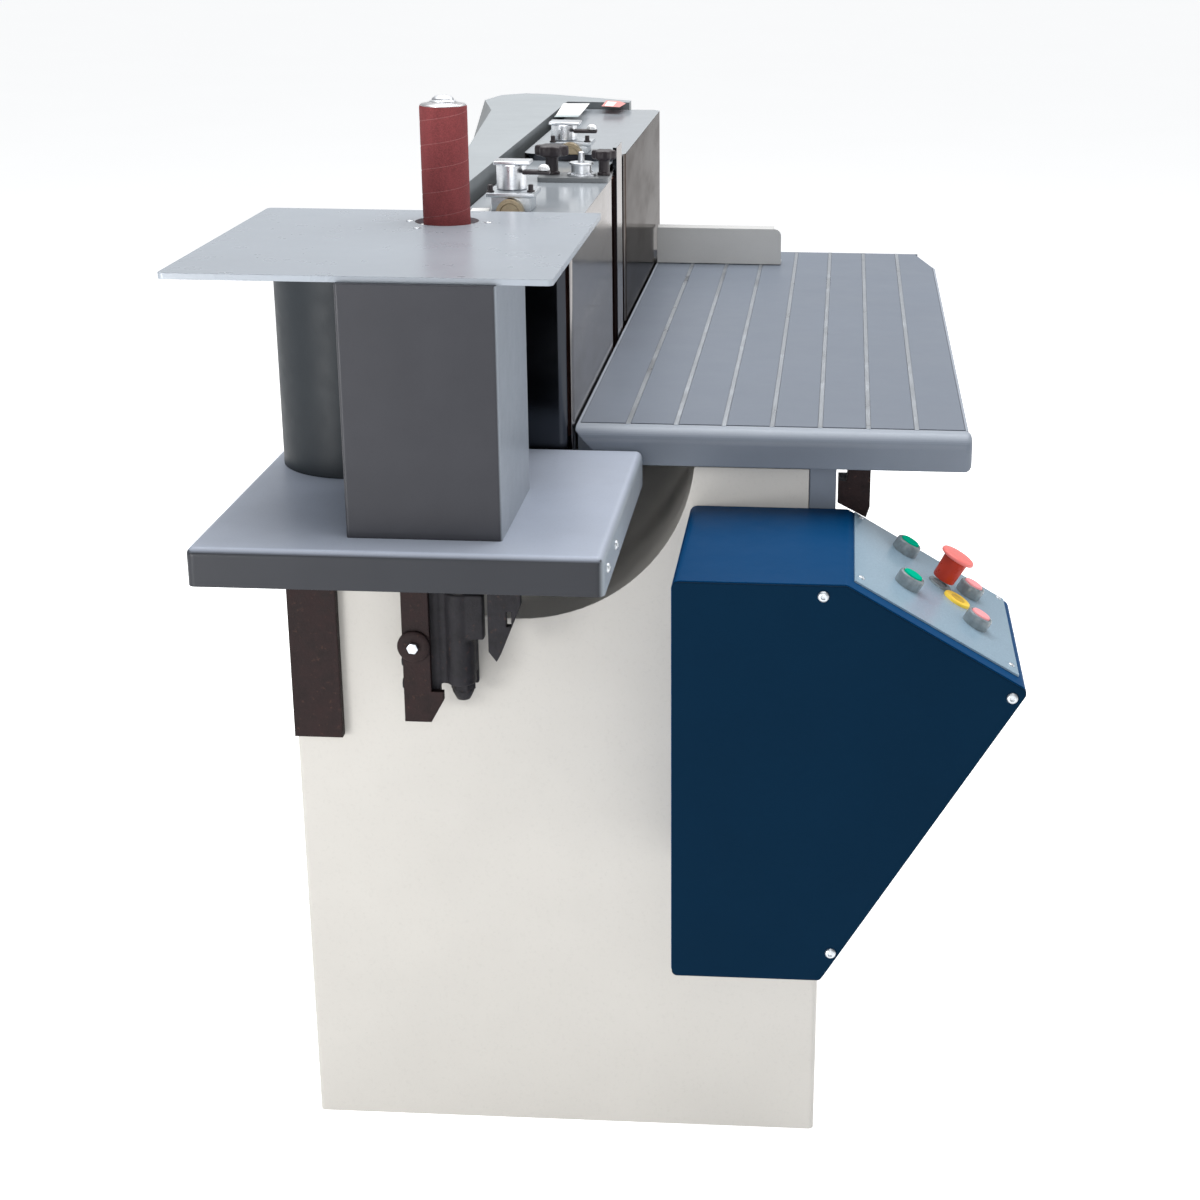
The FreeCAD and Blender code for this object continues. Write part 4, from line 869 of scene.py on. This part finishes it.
def slit_shade_fills():
    """Painted shade: black rubber strips that fill the slit between the hood and the casings, and the gap
    between the slats and their front lip, where there is only shade.
    """
    hood_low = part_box("belt_hood")[0]
    near_low, near_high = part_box("near_casing")
    far_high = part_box("far_casing")[1]

    # painted shade: a black strip filling the slit between the hood and the casings
    def hood_slit_shade(form):
        slab(form, (near_low.x - 11.5 * MM, hood_low.y + 4 * MM, near_high.z - 40 * MM),
             (near_low.x - 0.4 * MM, far_high.y, near_high.z - 8 * MM), 2.0)
    piece("hood_slit_shade", hood_slit_shade, "rubber", "machine_frame", 40, None)

    low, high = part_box("table_slats")

    # painted shade: a black strip filling the gap in front of the slats
    def slat_gap_shade(form):
        slab(form, (low.x, low.y - 3.7 * MM, low.z + 0.1 * MM),
             (high.x - 2 * MM, low.y - 0.3 * MM, high.z - 0.8 * MM), 0.4)
    piece("slat_gap_shade", slat_gap_shade, "rubber", "side_table", 40, None)


# ---------------------------------------------------------------- labels

def labels():
    """Blank labels on the hood's roof and on the near casing."""
    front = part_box("cabinet_shell")[0].y
    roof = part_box("belt_hood")[1].z
    casing_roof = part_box("near_casing")[1].z

    def label(name, look, outline, z):
        """A label over corners (x, distance from the cabinet's front) in millimetres, at a height."""
        def place(x, y, level):
            return Vector((x * MM, front + y * MM, z + level * MM))
        piece(name, lambda form: thin_plate(form, outline, place), look, "machine_frame", 0, None)
    label("roof_label", "label", [(-114, 922), (-78, 927), (-83, 1098), (-125, 1093)], roof)
    label("roof_label_foot", "film", [(-114, 900), (-78, 905), (-78, 925), (-114, 920)], roof)
    label("corner_label", "red_label",
          [(-60, 1060), (-30, 1048), (-26, 1105), (-40, 1140), (-62, 1146)], roof)
    label("corner_label_blank", "label",
          [(-56, 1066), (-42, 1060), (-42, 1122), (-58, 1130)], roof + 0.25 * MM)
    label("casing_label", "label", [(-104, 94), (-82, 94), (-86, 130), (-106, 128)], casing_roof)


def build():
    sanding_drum()
    for lever in ("near_tension_lever", "far_tension_lever"):
        tension_lever(lever)
    adjuster_blocks()
    lobed_knob("tension_knob", 22, 10)
    lobed_knob("tracking_knob", 16, 8.5)
    tracking_hub()
    push_buttons()
    panel_marks()
    socket_screws()
    soft_casting("height_casting", "machine_frame")
    clamp_bolt()
    spindle_foot()
    slit_shade_fills()
    labels()


build()


# ---------------------------------------------------------------- stage

def studio():
    """A pale floor that glows a little, a dim sky and five soft lamps."""
    floor_mesh = bpy.data.meshes.new("floor")
    form = bmesh.new()
    bmesh.ops.create_grid(form, x_segments=1, y_segments=1, size=60)
    form.to_mesh(floor_mesh)
    form.free()
    floor = bpy.data.objects.new("floor", floor_mesh)
    bpy.context.scene.collection.objects.link(floor)
    floor.location.z = -0.5 * MM
    made = Finish("pale_floor", specular=0.1)
    made.colour(made.blend(made.span(made.noise(0.8, 2), 0, 1), (0.86, 0.86, 0.86), (0.88, 0.88, 0.88)))
    made.shader.inputs["Roughness"].default_value = 0.8
    made.shader.inputs["Emission Color"].default_value = (1, 1, 1, 1)
    made.shader.inputs["Emission Strength"].default_value = 0.66
    floor_mesh.materials.append(made.material)

    world = bpy.data.worlds.new("studio")
    bpy.context.scene.world = world
    world.use_nodes = True
    world.node_tree.nodes["Background"].inputs["Color"].default_value = (0.94, 0.97, 1.0, 1)
    world.node_tree.nodes["Background"].inputs["Strength"].default_value = 0.35

    # name, watts, size, place and target of each lamp
    for name, energy, size, place, target in (
            ("top_light", 200, (4.5, 4.5), (0.3, 0.6, 4.2), (0.1, 0.1, 0.8)),
            ("right_light", 40, (3.0, 3.0), (4.6, 0.8, 2.2), (0, 0, 0.9)),
            ("back_light", 15, (6.0, 2.6), (-0.6, 5.4, 2.4), (0, 0, 1.0)),
            ("left_light", 26, (1.0, 0.4), (-1.4, -2.6, 0.72), (0.1, -0.45, 0.78)),
            ("front_light", 16, (1.6, 1.2), (0.3, -3.3, 1.5), (0, -0.5, 0.7))):
        lamp = bpy.data.lights.new(name, "AREA")
        lamp.shape = "RECTANGLE"
        lamp.size, lamp.size_y = size
        lamp.energy = energy
        obj = bpy.data.objects.new(name, lamp)
        bpy.context.scene.collection.objects.link(obj)
        obj.location = place
        obj.rotation_euler = (Vector(target) - Vector(place)).to_track_quat("-Z", "Y").to_euler()


def camera():
    """In front, a little to the right, looking down."""
    lens = bpy.data.cameras.new("camera")
    lens.sensor_width = 36
    lens.lens = 63
    lens.shift_x = -0.1
    view = bpy.data.objects.new("camera", lens)
    bpy.context.scene.collection.objects.link(view)
    view.matrix_world = (Matrix.Translation(STANDPOINT) @ Matrix.Rotation(PAN, 4, "Z")
                         @ Matrix.Rotation(math.pi / 2 - LOOK_DOWN, 4, "X") @ Matrix.Rotation(ROLL, 4, "Z"))
    bpy.context.scene.camera = view


studio()
camera()
bpy.context.scene.view_settings.view_transform = "Standard"
